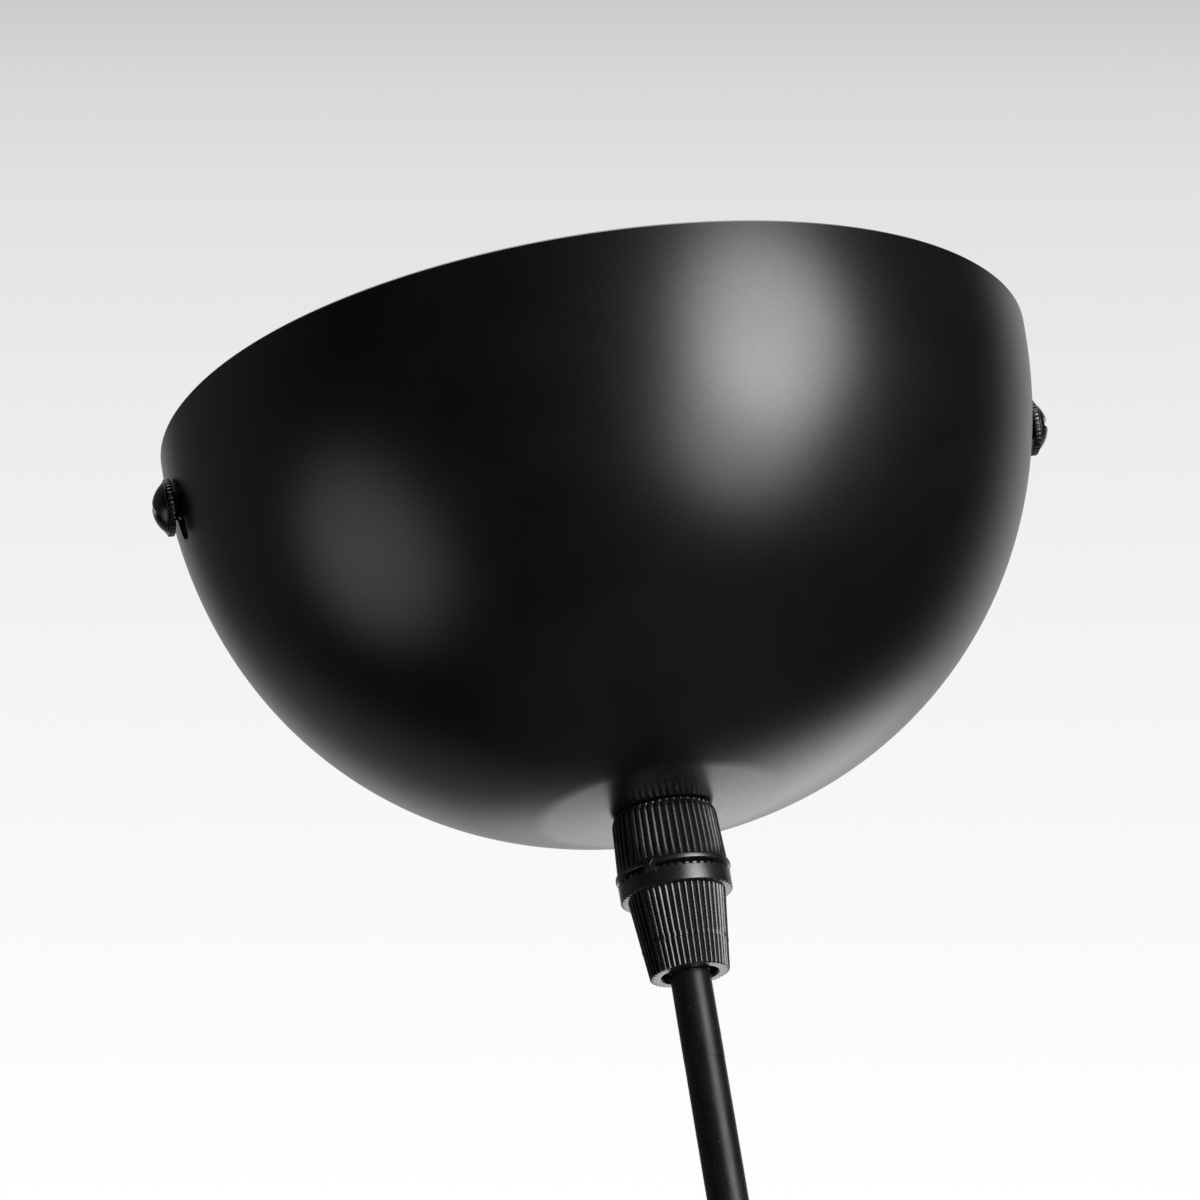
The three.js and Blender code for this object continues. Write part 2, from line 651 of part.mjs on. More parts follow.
const pendant = new THREE.Group();
addBracket(pendant);
add(pendant, "canopy_cup", cupGeometry(), "powderCoat");
addSideScrews(pendant);
addGrip(pendant);
addWires(pendant);
addCord(pendant);
addHolder(pendant);

export default pendant;
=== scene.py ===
"""The looks of a pendant ceiling light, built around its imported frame.

Lengths are millimetres, in the frame's axes, until make_piece turns them into Blender's metres.
"""

import math

import bmesh
import bpy
from mathutils import Matrix, Vector


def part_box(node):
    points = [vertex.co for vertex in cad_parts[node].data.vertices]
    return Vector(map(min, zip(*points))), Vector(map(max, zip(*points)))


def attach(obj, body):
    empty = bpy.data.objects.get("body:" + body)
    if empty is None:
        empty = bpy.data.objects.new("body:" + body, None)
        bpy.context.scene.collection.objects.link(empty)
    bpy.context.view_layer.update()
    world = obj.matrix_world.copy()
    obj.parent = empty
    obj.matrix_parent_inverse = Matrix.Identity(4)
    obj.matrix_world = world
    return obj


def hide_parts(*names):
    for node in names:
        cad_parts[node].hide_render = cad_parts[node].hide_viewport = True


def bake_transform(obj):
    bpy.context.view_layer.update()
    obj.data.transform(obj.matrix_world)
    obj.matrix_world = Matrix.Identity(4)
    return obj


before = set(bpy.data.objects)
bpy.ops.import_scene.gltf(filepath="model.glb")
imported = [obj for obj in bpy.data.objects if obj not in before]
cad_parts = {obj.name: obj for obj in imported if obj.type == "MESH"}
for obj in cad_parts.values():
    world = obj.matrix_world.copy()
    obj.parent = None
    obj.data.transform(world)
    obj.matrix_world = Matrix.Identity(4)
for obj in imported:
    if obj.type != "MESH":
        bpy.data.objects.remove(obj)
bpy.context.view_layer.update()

MM = 0.001
UP = Vector((0, 0, 1))
SHARP_ANGLE = math.radians(38)


def low(node):
    """The lowest corner of a CAD node, in millimetres."""
    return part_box(node)[0] / MM


def high(node):
    """The highest corner of a CAD node, in millimetres."""
    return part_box(node)[1] / MM


def linked(name, data):
    """A new object in the scene."""
    item = bpy.data.objects.new(name, data)
    bpy.context.scene.collection.objects.link(item)
    return item


# ---------- Places and sizes, from the frame ----------

CUP_RADIUS = 60
CUP_DEPTH = 61.4
CUP_FULLNESS = 2.11
CUP_TRAVEL = 2.5
CUP_WALL = 1.0
DISC_RADIUS = 16.4
DISC_CURVE = 117
POLE_FLAT_RADIUS = 8
RIM_Z = high("canopy_cup").z
POLE_Z = low("canopy_cup").z
SIDE_SCREW_Z = (high("side_washer_left").z + low("side_washer_left").z) / 2
CUP_HOLE_RADIUS = 5.2
SIDE_SLOT_RADIUS = 2.2
CORD_RADIUS = 2.75
CORE_RADIUS = 1.1
BODY_BOTTOM = -9.15
GRIP_NECK_END = -17.25
COLLAR_TOP = high("grip_cap").z - POLE_Z
COLLAR_BOTTOM = COLLAR_TOP - 2.6
GRIP_EXIT_Z = low("grip_cap").z
GRIP_END = GRIP_EXIT_Z - POLE_Z
NECK_END_Z = low("cord_neck").z
HOLDER_TOP_Z = high("holder_grip_cap").z
SHEATH_END_Z = high("cord_tail").z
EARTH_X = 21.5
WAY_PITCH = 10
TUBE_Z = -8.8


# ---------- Camera ----------

CAMERA_DISTANCE = 1.0
CAMERA_AZIMUTH = -11.88
CAMERA_ELEVATION = -21.13
CAMERA_ROLL = -9.55
CAMERA_LENS = 218.1
AIM_RIGHT = 0.9
AIM_DOWN = 27.5


def camera_axes():
    """The camera's right, up and back directions."""
    azimuth = math.radians(CAMERA_AZIMUTH)
    elevation = math.radians(CAMERA_ELEVATION)
    level = math.cos(elevation)
    back = Vector((math.sin(azimuth) * level, -math.cos(azimuth) * level, math.sin(elevation)))
    right = UP.cross(back).normalized()
    up = back.cross(right)
    roll = math.radians(CAMERA_ROLL)
    rolled_right = right * math.cos(roll) + up * math.sin(roll)
    rolled_up = up * math.cos(roll) - right * math.sin(roll)
    return rolled_right, rolled_up, back


def add_camera():
    right, up, back = camera_axes()
    rim_centre = Vector((0, 0, RIM_Z)) * MM
    aim = rim_centre + (right * AIM_RIGHT - up * AIM_DOWN) * MM
    place = rim_centre + back * CAMERA_DISTANCE
    away = (place - aim).normalized()
    level = up.cross(away).normalized()
    turned_up = away.cross(level)
    camera = bpy.data.cameras.new("camera")
    camera.lens = CAMERA_LENS
    camera.sensor_width = 36
    camera.clip_start = 0.05
    camera.clip_end = 50
    holder = linked("camera", camera)
    rotation = Matrix((level, turned_up, away)).transposed()
    holder.matrix_world = Matrix.Translation(place) @ rotation.to_4x4()
    bpy.context.scene.camera = holder


# ---------- Materials ----------


def new_material(name, color, roughness, metallic=0.0, specular=0.5):
    material = bpy.data.materials.new(name)
    material.use_nodes = True
    fill_in(shader_of(material), {"Base Color": (*color, 1), "Roughness": roughness,
                                  "Metallic": metallic, "Specular IOR Level": specular})
    return material


def shader_of(material):
    return material.node_tree.nodes["Principled BSDF"]


def fill_in(node, values):
    """Sets a node's inputs, or its own settings where no input has that name."""
    for name, value in values.items():
        if name in node.inputs:
            node.inputs[name].default_value = value
        else:
            setattr(node, name, value)


def add_node(owner, kind, **values):
    """A node in the tree of a material or of the world."""
    node = owner.node_tree.nodes.new(kind)
    fill_in(node, values)
    return node


def link(owner, source, target):
    owner.node_tree.links.new(source, target)


def object_position(material, stretch=(1, 1, 1)):
    """Position in the piece's own space, in millimetres, squeezed along each axis by stretch."""
    place = add_node(material, "ShaderNodeTexCoord")
    scaled = add_node(material, "ShaderNodeMapping", Scale=[s / MM for s in stretch])
    link(material, place.outputs["Object"], scaled.inputs["Vector"])
    return scaled.outputs["Vector"]


def noise(material, size, detail=2.0, stretch=(1, 1, 1), rough=0.5):
    """Smooth noise with features of about that size, in millimetres."""
    texture = add_node(material, "ShaderNodeTexNoise", Scale=1 / size, Detail=detail, Roughness=rough)
    link(material, object_position(material, stretch), texture.inputs["Vector"])
    return texture.outputs["Fac"]


def remap(owner, value, low_out, high_out, low_in=0.3, high_in=0.7, curve="LINEAR"):
    ends = {"From Min": low_in, "From Max": high_in, "To Min": low_out, "To Max": high_out}
    node = add_node(owner, "ShaderNodeMapRange", interpolation_type=curve, **ends)
    link(owner, value, node.inputs["Value"])
    return node.outputs["Result"]


def vary_color(material, value, dark, light, low_in=0.3, high_in=0.7):
    """Base colour from dark to light as value rises."""
    ramp = add_node(material, "ShaderNodeValToRGB")
    ramp.color_ramp.elements[0].position = low_in
    ramp.color_ramp.elements[0].color = (*dark, 1)
    ramp.color_ramp.elements[1].position = high_in
    ramp.color_ramp.elements[1].color = (*light, 1)
    link(material, value, ramp.inputs["Fac"])
    link(material, ramp.outputs["Color"], shader_of(material).inputs["Base Color"])


def vary_roughness(material, value, smooth, rough):
    varied = remap(material, value, smooth, rough)
    link(material, varied, shader_of(material).inputs["Roughness"])


def bump(material, *heights):
    """Chains bumps of (value, height in millimetres) into the shader's normal."""
    last = None
    for value, height in heights:
        node = add_node(material, "ShaderNodeBump", Strength=1.0, Distance=height * MM)
        link(material, value, node.inputs["Height"])
        if last is not None:
            link(material, last.outputs["Normal"], node.inputs["Normal"])
        last = node
    link(material, last.outputs["Normal"], shader_of(material).inputs["Normal"])


def shade_of(color, factor):
    return tuple(min(1.0, channel * factor) for channel in color)


def powder_coat():
    """Satin black: a fine orange-peel grain with slightly uneven gloss."""
    color = (0.0042, 0.0040, 0.0039)
    material = new_material("powder_coat", color, 0.29)
    fine = noise(material, 0.28, detail=3.0)
    broad = noise(material, 9.0)
    vary_color(material, broad, shade_of(color, 0.85), shade_of(color, 1.2))
    vary_roughness(material, fine, 0.27, 0.31)
    bump(material, (fine, 0.0035), (noise(material, 1.6, detail=1.0), 0.004))
    return material


def moulded_plastic():
    """Black nylon from a lightly textured mould."""
    color = (0.0075, 0.0075, 0.008)
    material = new_material("moulded_plastic", color, 0.3, specular=0.8)
    grain = noise(material, 0.16)
    vary_color(material, noise(material, 2.5), shade_of(color, 0.8), shade_of(color, 1.35))
    vary_roughness(material, grain, 0.23, 0.36)
    bump(material, (grain, 0.010), (noise(material, 1.1), 0.006))
    return material


def cord_sheath():
    """Black PVC, extruded round the twisted cores, with faint scuffs from handling."""
    color = (0.006, 0.006, 0.0064)
    material = new_material("cord_sheath", color, 0.38, specular=0.36)
    scuff = noise(material, 0.5, detail=3.0, stretch=(1.0, 1.0, 2.6), rough=0.65)
    vary_color(material, scuff, color, (0.05, 0.05, 0.052), 0.64, 0.72)
    vary_roughness(material, noise(material, 1.4, stretch=(1, 1, 0.3)), 0.31, 0.42)
    bump(material, (noise(material, 0.2), 0.004), (noise(material, 1.8, stretch=(1, 1, 0.4)), 0.012))
    return material


def black_steel():
    """Blackened screws, worn a little brighter in patches."""
    color = (0.006, 0.006, 0.0065)
    material = new_material("black_steel", color, 0.22, metallic=0.1, specular=0.6)
    worn = noise(material, 0.9, detail=4.0, rough=0.6)
    vary_color(material, worn, color, (0.02, 0.02, 0.021), 0.58, 0.78)
    vary_roughness(material, noise(material, 0.3), 0.17, 0.3)
    bump(material, (noise(material, 0.25), 0.006))
    return material


def zinc_steel():
    """Zinc-plated strip, with faint spangle and rolling marks along X."""
    color = (0.42, 0.43, 0.45)
    material = new_material("zinc_steel", color, 0.4, metallic=1.0)
    spangle = add_node(material, "ShaderNodeTexVoronoi", Scale=0.5)
    link(material, object_position(material), spangle.inputs["Vector"])
    dark, light = shade_of(color, 0.85), shade_of(color, 1.1)
    vary_color(material, spangle.outputs["Distance"], dark, light, 0.1, 0.8)
    rolled = noise(material, 0.35, detail=3.0, stretch=(0.06, 1, 1))
    vary_roughness(material, rolled, 0.34, 0.5)
    bump(material, (rolled, 0.003))
    return material


def brass():
    color = (0.72, 0.47, 0.17)
    material = new_material("brass", color, 0.27, metallic=1.0)
    tarnish = noise(material, 1.6, detail=4.0, rough=0.6)
    vary_color(material, tarnish, (0.55, 0.33, 0.11), color, 0.3, 0.6)
    turned = noise(material, 0.25, stretch=(1, 1, 4))
    vary_roughness(material, turned, 0.2, 0.38)
    bump(material, (turned, 0.003))
    return material


def nylon():
    """Natural nylon: milky, slightly translucent."""
    color = (0.74, 0.73, 0.68)
    material = new_material("natural_nylon", color, 0.42)
    radius = (0.002, 0.0018, 0.0015)
    fill_in(shader_of(material), {"Subsurface Weight": 0.35, "Subsurface Radius": radius})
    vary_color(material, noise(material, 3.0), shade_of(color, 0.93), shade_of(color, 1.04))
    vary_roughness(material, noise(material, 0.4), 0.36, 0.5)
    bump(material, (noise(material, 0.3), 0.006))
    return material


def porcelain():
    color = (0.80, 0.77, 0.69)
    material = new_material("porcelain", color, 0.2)
    specks = noise(material, 0.7, detail=5.0, rough=0.7)
    vary_color(material, specks, (0.70, 0.66, 0.56), color, 0.28, 0.42)
    vary_roughness(material, noise(material, 1.2), 0.14, 0.28)
    bump(material, (noise(material, 1.5), 0.01))
    return material


def soft_grain(material):
    """The faint unevenness of PVC on a core."""
    vary_roughness(material, noise(material, 0.4), 0.32, 0.46)
    bump(material, (noise(material, 0.3), 0.005))
    return material


def wire_insulation(name, color):
    material = new_material(name, color, 0.38)
    vary_color(material, noise(material, 1.5), shade_of(color, 0.85), shade_of(color, 1.15))
    return soft_grain(material)


def earth_insulation():
    """Green with yellow stripes that run along the wire, from the tube's own u coordinate."""
    green = (0.06, 0.30, 0.03)
    material = new_material("earth_insulation", green, 0.38)
    place = add_node(material, "ShaderNodeUVMap", uv_map="along")
    split = add_node(material, "ShaderNodeSeparateXYZ")
    link(material, place.outputs["UV"], split.inputs["Vector"])
    wave = add_node(material, "ShaderNodeMath", operation="PINGPONG")
    wave.inputs[1].default_value = 0.25
    link(material, split.outputs["X"], wave.inputs[0])
    vary_color(material, wave.outputs["Value"], green, (0.80, 0.62, 0.03), 0.13, 0.15)
    return soft_grain(material)


MATERIALS = {
    "powder_coat": powder_coat(),
    "black_plastic": moulded_plastic(),
    "cord_sheath": cord_sheath(),
    "black_screw": black_steel(),
    "zinc_steel": zinc_steel(),
    "brass": brass(),
    "nylon": nylon(),
    "porcelain": porcelain(),
    "brown_core": wire_insulation("brown_insulation", (0.11, 0.032, 0.012)),
    "blue_core": wire_insulation("blue_insulation", (0.014, 0.075, 0.34)),
    "earth_core": earth_insulation(),
}


# ---------- Mesh helpers ----------


def mesh_data(name, mesh):
    data = bpy.data.meshes.new(name)
    mesh.to_mesh(data)
    mesh.free()
    return data


def make_piece(name, mesh, slot, body, *nodes, turn=None, place=(0, 0, 0)):
    """Turns a bmesh in millimetres into a piece that rides on a body and replaces CAD nodes."""
    if turn is not None:
        mesh.transform(turn.to_4x4())
    mesh.transform(Matrix.Translation(Vector(place)))
    mesh.transform(Matrix.Scale(MM, 4))
    bmesh.ops.recalc_face_normals(mesh, faces=mesh.faces)
    data = mesh_data(name, mesh)
    data.shade_smooth()
    data.set_sharp_from_angle(angle=SHARP_ANGLE)
    data.materials.append(MATERIALS[slot])
    piece = linked(name, data)
    if body:
        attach(piece, body)
    if nodes:
        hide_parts(*nodes)
    return piece


def rounded(points, radius, closed):
    """The outline with each corner cut by a small curve."""
    steps = 3
    points = [Vector(p) for p in points]
    made = []
    count = len(points)
    for index, corner in enumerate(points):
        at_end = index in (0, count - 1)
        if at_end and not closed:
            made.append(corner)
            continue
        before = points[index - 1] - corner
        after = points[(index + 1) % count] - corner
        reach = min(radius, before.length * 0.45, after.length * 0.45)
        if before.angle(after, math.pi) > math.radians(170) or reach < 1e-4:
            made.append(corner)
            continue
        start = corner + before.normalized() * reach
        end = corner + after.normalized() * reach
        for step in range(steps + 1):
            share = step / steps
            made.append(start * (1 - share) ** 2 + corner * 2 * share * (1 - share) + end * share**2)
    return made


def lathe(profile, segments=96, edge=0.15, ripple=None):
    """A solid of revolution about Z from (radius, z) points with rounded corners.

    ripple(angle, radius, z) gives the radius there instead, for ribs and threads.
    """
    closed = profile[0][0] > 0
    points = rounded(profile, edge, closed) if edge else [Vector(p) for p in profile]
    mesh = bmesh.new()
    rings = []
    for radius, z in points:
        if radius < 1e-6:
            rings.append([mesh.verts.new((0, 0, z))])
            continue
        corners = []
        for index in range(segments):
            angle = math.tau * index / segments
            out = ripple(angle, radius, z) if ripple else radius
            corners.append(mesh.verts.new((out * math.cos(angle), out * math.sin(angle), z)))
        rings.append(corners)
    pairs = list(zip(rings, rings[1:]))
    if closed:
        pairs.append((rings[-1], rings[0]))
    for first, second in pairs:
        for index in range(segments):
            after = (index + 1) % segments
            if len(first) == 1:
                mesh.faces.new((first[0], second[index], second[after]))
            elif len(second) == 1:
                mesh.faces.new((first[index], first[after], second[0]))
            else:
                mesh.faces.new((first[index], first[after], second[after], second[index]))
    return mesh


def ring(outer, inner, bottom, top, edge=0.12, segments=64, ripple=None):
    profile = [(inner, bottom), (outer, bottom), (outer, top), (inner, top)]
    return lathe(profile, segments, edge, ripple)


def rod(radius, bottom, top, edge=0.12, segments=48):
    return lathe([(0, bottom), (radius, bottom), (radius, top), (0, top)], segments, edge)


def rod_at(radius, x, y, bottom, top):
    return moved(rod(radius, bottom, top, edge=0), x, y)


def slab(size, centre=(0, 0, 0)):
    mesh = bmesh.new()
    bmesh.ops.create_cube(mesh, size=1)
    mesh.transform(Matrix.Diagonal((*size, 1)))
    mesh.transform(Matrix.Translation(centre))
    return mesh


def prism(outline, depth, centre_z=0.0):
    """A flat outline of (x, y) points, extruded along Z by depth about centre_z."""
    mesh = bmesh.new()
    corners = [mesh.verts.new((p[0], p[1], centre_z - depth / 2)) for p in outline]
    face = mesh.faces.new(corners)
    raised = bmesh.ops.extrude_face_region(mesh, geom=[face])["geom"]
    lifted = [item for item in raised if isinstance(item, bmesh.types.BMVert)]
    bmesh.ops.translate(mesh, verts=lifted, vec=(0, 0, depth))
    bmesh.ops.recalc_face_normals(mesh, faces=mesh.faces)
    return mesh


def arc(centre, radius, start, end, steps=12):
    """Points of an arc in the plane, angles in degrees."""
    made = []
    for step in range(steps + 1):
        angle = math.radians(start + (end - start) * step / steps)
        made.append((centre[0] + radius * math.cos(angle), centre[1] + radius * math.sin(angle)))
    return made


def slot_outline(length, radius):
    """A round-ended slot along X."""
    half = length / 2 - radius
    return arc((half, 0), radius, -90, 90) + arc((-half, 0), radius, 90, 270)


def scratch_object(mesh):
    bmesh.ops.recalc_face_normals(mesh, faces=mesh.faces)
    return linked("scratch", mesh_data("scratch", mesh))


def combined(base, tools=(), operation="DIFFERENCE", bevel=0.0, bevel_angle=35):
    """The base cut by, or joined to, each tool, then bevelled along its sharp edges."""
    item = scratch_object(base)
    helpers = [scratch_object(tool) for tool in tools]
    for helper in helpers:
        modifier = item.modifiers.new("cut", "BOOLEAN")
        modifier.operation = operation
        modifier.solver = "EXACT"
        modifier.object = helper
    if bevel:
        modifier = item.modifiers.new("bevel", "BEVEL")
        modifier.width = bevel
        modifier.segments = 2
        modifier.limit_method = "ANGLE"
        modifier.angle_limit = math.radians(bevel_angle)
    evaluated = item.evaluated_get(bpy.context.evaluated_depsgraph_get())
    data = evaluated.to_mesh()
    made = bmesh.new()
    made.from_mesh(data)
    evaluated.to_mesh_clear()
    for scrap in [item, *helpers]:
        bpy.data.objects.remove(scrap)
    return made


def turned(mesh, axis, degrees):
    mesh.transform(Matrix.Rotation(math.radians(degrees), 4, axis))
    return mesh


def moved(mesh, x=0.0, y=0.0, z=0.0):
    mesh.transform(Matrix.Translation((x, y, z)))
    return mesh


def stacked(*meshes):
    """Several closed shells in one mesh."""
    whole = bmesh.new()
    for mesh in meshes:
        data = mesh_data("scratch", mesh)
        whole.from_mesh(data)
        bpy.data.meshes.remove(data)
    return whole


def smooth_route(points, step):
    """A Catmull-Rom curve through the points, sampled about every step millimetres."""
    points = [Vector(p) for p in points]
    padded = [points[0] * 2 - points[1], *points, points[-1] * 2 - points[-2]]
    made = [points[0]]
    for a, b, c, d in zip(padded, padded[1:], padded[2:], padded[3:]):
        count = max(2, round((c - b).length / step))
        for index in range(1, count + 1):
            t = index / count
            flat = b * 2 + (c - a) * t
            bent = (a * 2 - b * 5 + c * 4 - d) * t**2 + (b * 3 - a - c * 3 + d) * t**3
            made.append((flat + bent) * 0.5)
    return made


def smooth_profile(points):
    return [(p.x, p.z) for p in smooth_route([(radius, 0, z) for radius, z in points], 0.8)]


def rows_between(start, end, count):
    """Points on a straight line of the profile, ends included."""
    return [(start[0] + (end[0] - start[0]) * i / count, start[1] + (end[1] - start[1]) * i / count)
            for i in range(count + 1)]


def rippled(inner, bottom, top, fade, cut):
    """ripple for a lathe: lowers the surface outside a radius by cut(angle, z), fading at both ends."""

    def shape(angle, out, z):
        if out < inner or not bottom <= z <= top:
            return out
        return out - cut(angle, z) * max(0, min(1, (z - bottom) / fade, (top - z) / fade))

    return shape


def thread(radius, pitch, depth, bottom, top):
    """ripple for a lathe: a ridge that winds up between bottom and top."""

    def cut(angle, z):
        phase = (z / pitch - angle / math.tau) % 1
        return depth * (1 - abs(phase * 2 - 1))

    return rippled(radius - 0.3, bottom, top, pitch, cut)


def toothed(count, depth, twist, inner, bottom=0):
    """ripple for a ring: teeth round its edge, twisted a little up and down."""

    def shape(angle, out, z):
        return out + depth * math.sin(angle * count + (z - bottom) * twist) if out > inner else out

    return shape


def threaded_rod(radius, tip_radius, start, taper, end, rows, segments, winding):
    """A rod up the Z axis with a tapered tip at its start, cut by that thread."""
    turns = rows_between((radius, start + taper), (radius, end), rows)
    return lathe([(0, start), (tip_radius, start), *turns, (0, end)], segments, 0, winding)


def tube(route, radius, segments=20, swell=None, edge=0.12):
    """A round tube along a route, with rounded ends, and a UV map that runs round and along it.

    swell(angle, travel) scales the radius there.
    """
    mesh = bmesh.new()
    rings = []
    sections = []
    travel = 0.0
    last = len(route) - 1
    normal = (route[1] - route[0]).normalized().orthogonal()
    for index, point in enumerate(route):
        along = (route[min(index + 1, last)] - route[max(index - 1, 0)]).normalized()
        normal = (normal - along * normal.dot(along)).normalized()
        if index:
            travel += (point - route[index - 1]).length
        spot = (point, along, normal.copy(), along.cross(normal), travel)
        if index == 0:
            sections += [(*spot, radius - edge, 0.0), (*spot, radius, edge)]
        elif index == last:
            sections += [(*spot, radius, -edge), (*spot, radius - edge, 0.0)]
        else:
            sections.append((*spot, radius, 0.0))
    for point, along, normal, side, travel, out, shift in sections:
        corners = []
        for index in range(segments):
            angle = math.tau * index / segments
            reach = out * swell(angle, travel) if swell else out
            offset = (normal * math.cos(angle) + side * math.sin(angle)) * reach
            corners.append(mesh.verts.new(point + along * shift + offset))
        rings.append(corners)
    layer = mesh.loops.layers.uv.new("along")
    pairs = list(zip(rings, rings[1:]))
    for row, (first, second) in enumerate(pairs):
        for index in range(segments):
            after = (index + 1) % segments
            face = mesh.faces.new((first[index], first[after], second[after], second[index]))
            spots = [(index, row), (index + 1, row), (index + 1, row + 1), (index, row + 1)]
            for loop, (around, height) in zip(face.loops, spots):
                loop[layer].uv = (around / segments, height / len(pairs))
    mesh.faces.new(rings[0])
    mesh.faces.new(rings[-1])
    return mesh


# ---------- Canopy cup ----------


def disc_depth(radius):
    """Depth below the rim of the cup's outer face, within the disc pressed into its bottom."""
    edge = CUP_DEPTH * (1 - (DISC_RADIUS / CUP_RADIUS) ** CUP_FULLNESS) ** (1 / CUP_FULLNESS)
    return edge + (DISC_RADIUS**2 - radius**2) / (2 * DISC_CURVE)


def cup_face(inset):
    """Profile of the cup's wall from rim to pole, on its outer face or an inset one."""
    rows = 72
    radius = CUP_RADIUS - inset
    depth = CUP_DEPTH - inset
    last = math.acos((DISC_RADIUS / radius) ** (CUP_FULLNESS / 2))
    power = 2 / CUP_FULLNESS
    points = []
    for row in range(rows + 1):
        angle = last * row / rows
        points.append((radius * math.cos(angle) ** power, RIM_Z - depth * math.sin(angle) ** power))
    for row in range(1, 9):
        out = DISC_RADIUS + (POLE_FLAT_RADIUS - DISC_RADIUS) * row / 8
        points.append((out, RIM_Z - disc_depth(out) + inset))
    return points


def cup():
    """The spun shell: a hemmed rim, a disc at the pole, a hole for the grip, two side slots."""
    hole = CUP_HOLE_RADIUS
    hem = 0.25
    outside = cup_face(0)
    inside = list(reversed(cup_face(CUP_WALL)))
    edge = [(hole, POLE_Z + 0.15), (hole, POLE_Z + CUP_WALL - 0.15)]
    rim_round = [(CUP_RADIUS - CUP_WALL + hem, RIM_Z), (CUP_RADIUS - hem, RIM_Z)]
    outside[0] = (CUP_RADIUS, RIM_Z - hem)
    inside[-1] = (CUP_RADIUS - CUP_WALL, RIM_Z - hem)
    shell = lathe([*outside, (hole + 0.15, POLE_Z), *edge, (hole + 0.15, POLE_Z + CUP_WALL),
                   *inside, *rim_round], 256, edge=0)
    slots = []
    length = CUP_TRAVEL + SIDE_SLOT_RADIUS * 2 + 0.3
    middle = SIDE_SCREW_Z + SIDE_SLOT_RADIUS - 0.15 - length / 2
    for side in (-1, 1):
        cutter = turned(prism(slot_outline(length, SIDE_SLOT_RADIUS), 16), "Y", 90)
        slots.append(moved(cutter, side * CUP_RADIUS, 0, middle))
    return combined(shell, slots)


# ---------- Side screws and washers ----------

HEAD_X = CUP_RADIUS + 0.95
HEAD_RADIUS = 3.5
HEAD_HEIGHT = 1.75
SLOT_TILTS = {"left": 54, "right": -6}
SHANK_RADIUS = 1.88
SHANK_START = 50.0
WASHER_RADIUS = 3.9
WASHER_BORE = 2.2


def side_screw(tilt):
    """A domed head with a slot across it, and a threaded shank pointing at the axis."""
    dome = [(HEAD_RADIUS, HEAD_X), (HEAD_RADIUS + 0.02, HEAD_X + 0.12)]
    sphere = (HEAD_RADIUS**2 + HEAD_HEIGHT**2) / (2 * HEAD_HEIGHT)
    steps = 15
    for step in range(1, steps):
        angle = math.asin(HEAD_RADIUS / sphere) * (1 - step / steps)
        out = sphere * math.sin(angle)
        dome.append((out, HEAD_X + HEAD_HEIGHT - sphere * (1 - math.cos(angle))))
    dome.append((0, HEAD_X + HEAD_HEIGHT))
    head = lathe([(0, HEAD_X - 0.3), (1.9, HEAD_X - 0.3), (1.9, HEAD_X), *dome], edge=0.08)
    slot = slab((2.0, HEAD_RADIUS * 3, 1.1), (HEAD_X + HEAD_HEIGHT + 0.05, 0, 0))
    head = combined(turned(head, "Y", 90), [slot], bevel=0.07, bevel_angle=40)
    winding = thread(SHANK_RADIUS, 0.7, 0.38, SHANK_START, HEAD_X - 0.6)
    worm = threaded_rod(SHANK_RADIUS, 1.4, SHANK_START, 0.5, HEAD_X - 0.2, 64, 40, winding)
    return turned(stacked(head, turned(worm, "Y", 90)), "X", -tilt)


def side_washer():
    """A shakeproof washer: small twisted teeth round its edge, under the head."""
    bottom = CUP_RADIUS + 0.05
    teeth = toothed(40, 0.06, 2, WASHER_RADIUS - 0.2, bottom)
    return turned(ring(WASHER_RADIUS, WASHER_BORE, bottom, bottom + 0.8, 0.14, 240, teeth), "Y", 90)


def add_side_screws():
    for side, turn in (("left", 180), ("right", 0)):
        spin = Matrix.Rotation(math.radians(turn), 3, "Z")
        screw = side_screw(SLOT_TILTS[side])
        pieces = (("canopy_screw", screw, "screw"), ("toothed_washer", side_washer(), "washer"))
        for piece, mesh, kind in pieces:
            make_piece(f"{piece}_{side}", mesh, "black_screw", f"{side}_{kind}", f"side_{kind}_{side}",
                       turn=spin, place=(0, 0, SIDE_SCREW_Z))


# ---------- Cord grip ----------

RIBS = 44
RIB_DEPTH = 0.42
STEM_RADIUS = 4.95
STEM_TOP = 7.0
BARREL_BOTTOM_RADIUS = 7.5
COLLAR_RADIUS = 7.6
CAP_BORE = 3.8


def ribs(bottom, top, fade=0.25):
    """ripple for a lathe: round-topped ribs with sharp grooves, ending square at both ends."""

    def cut(angle, z):
        return RIB_DEPTH * (1 - abs(math.cos(angle * RIBS / 2)) ** 0.8)

    return rippled(5, bottom, top, fade, cut)


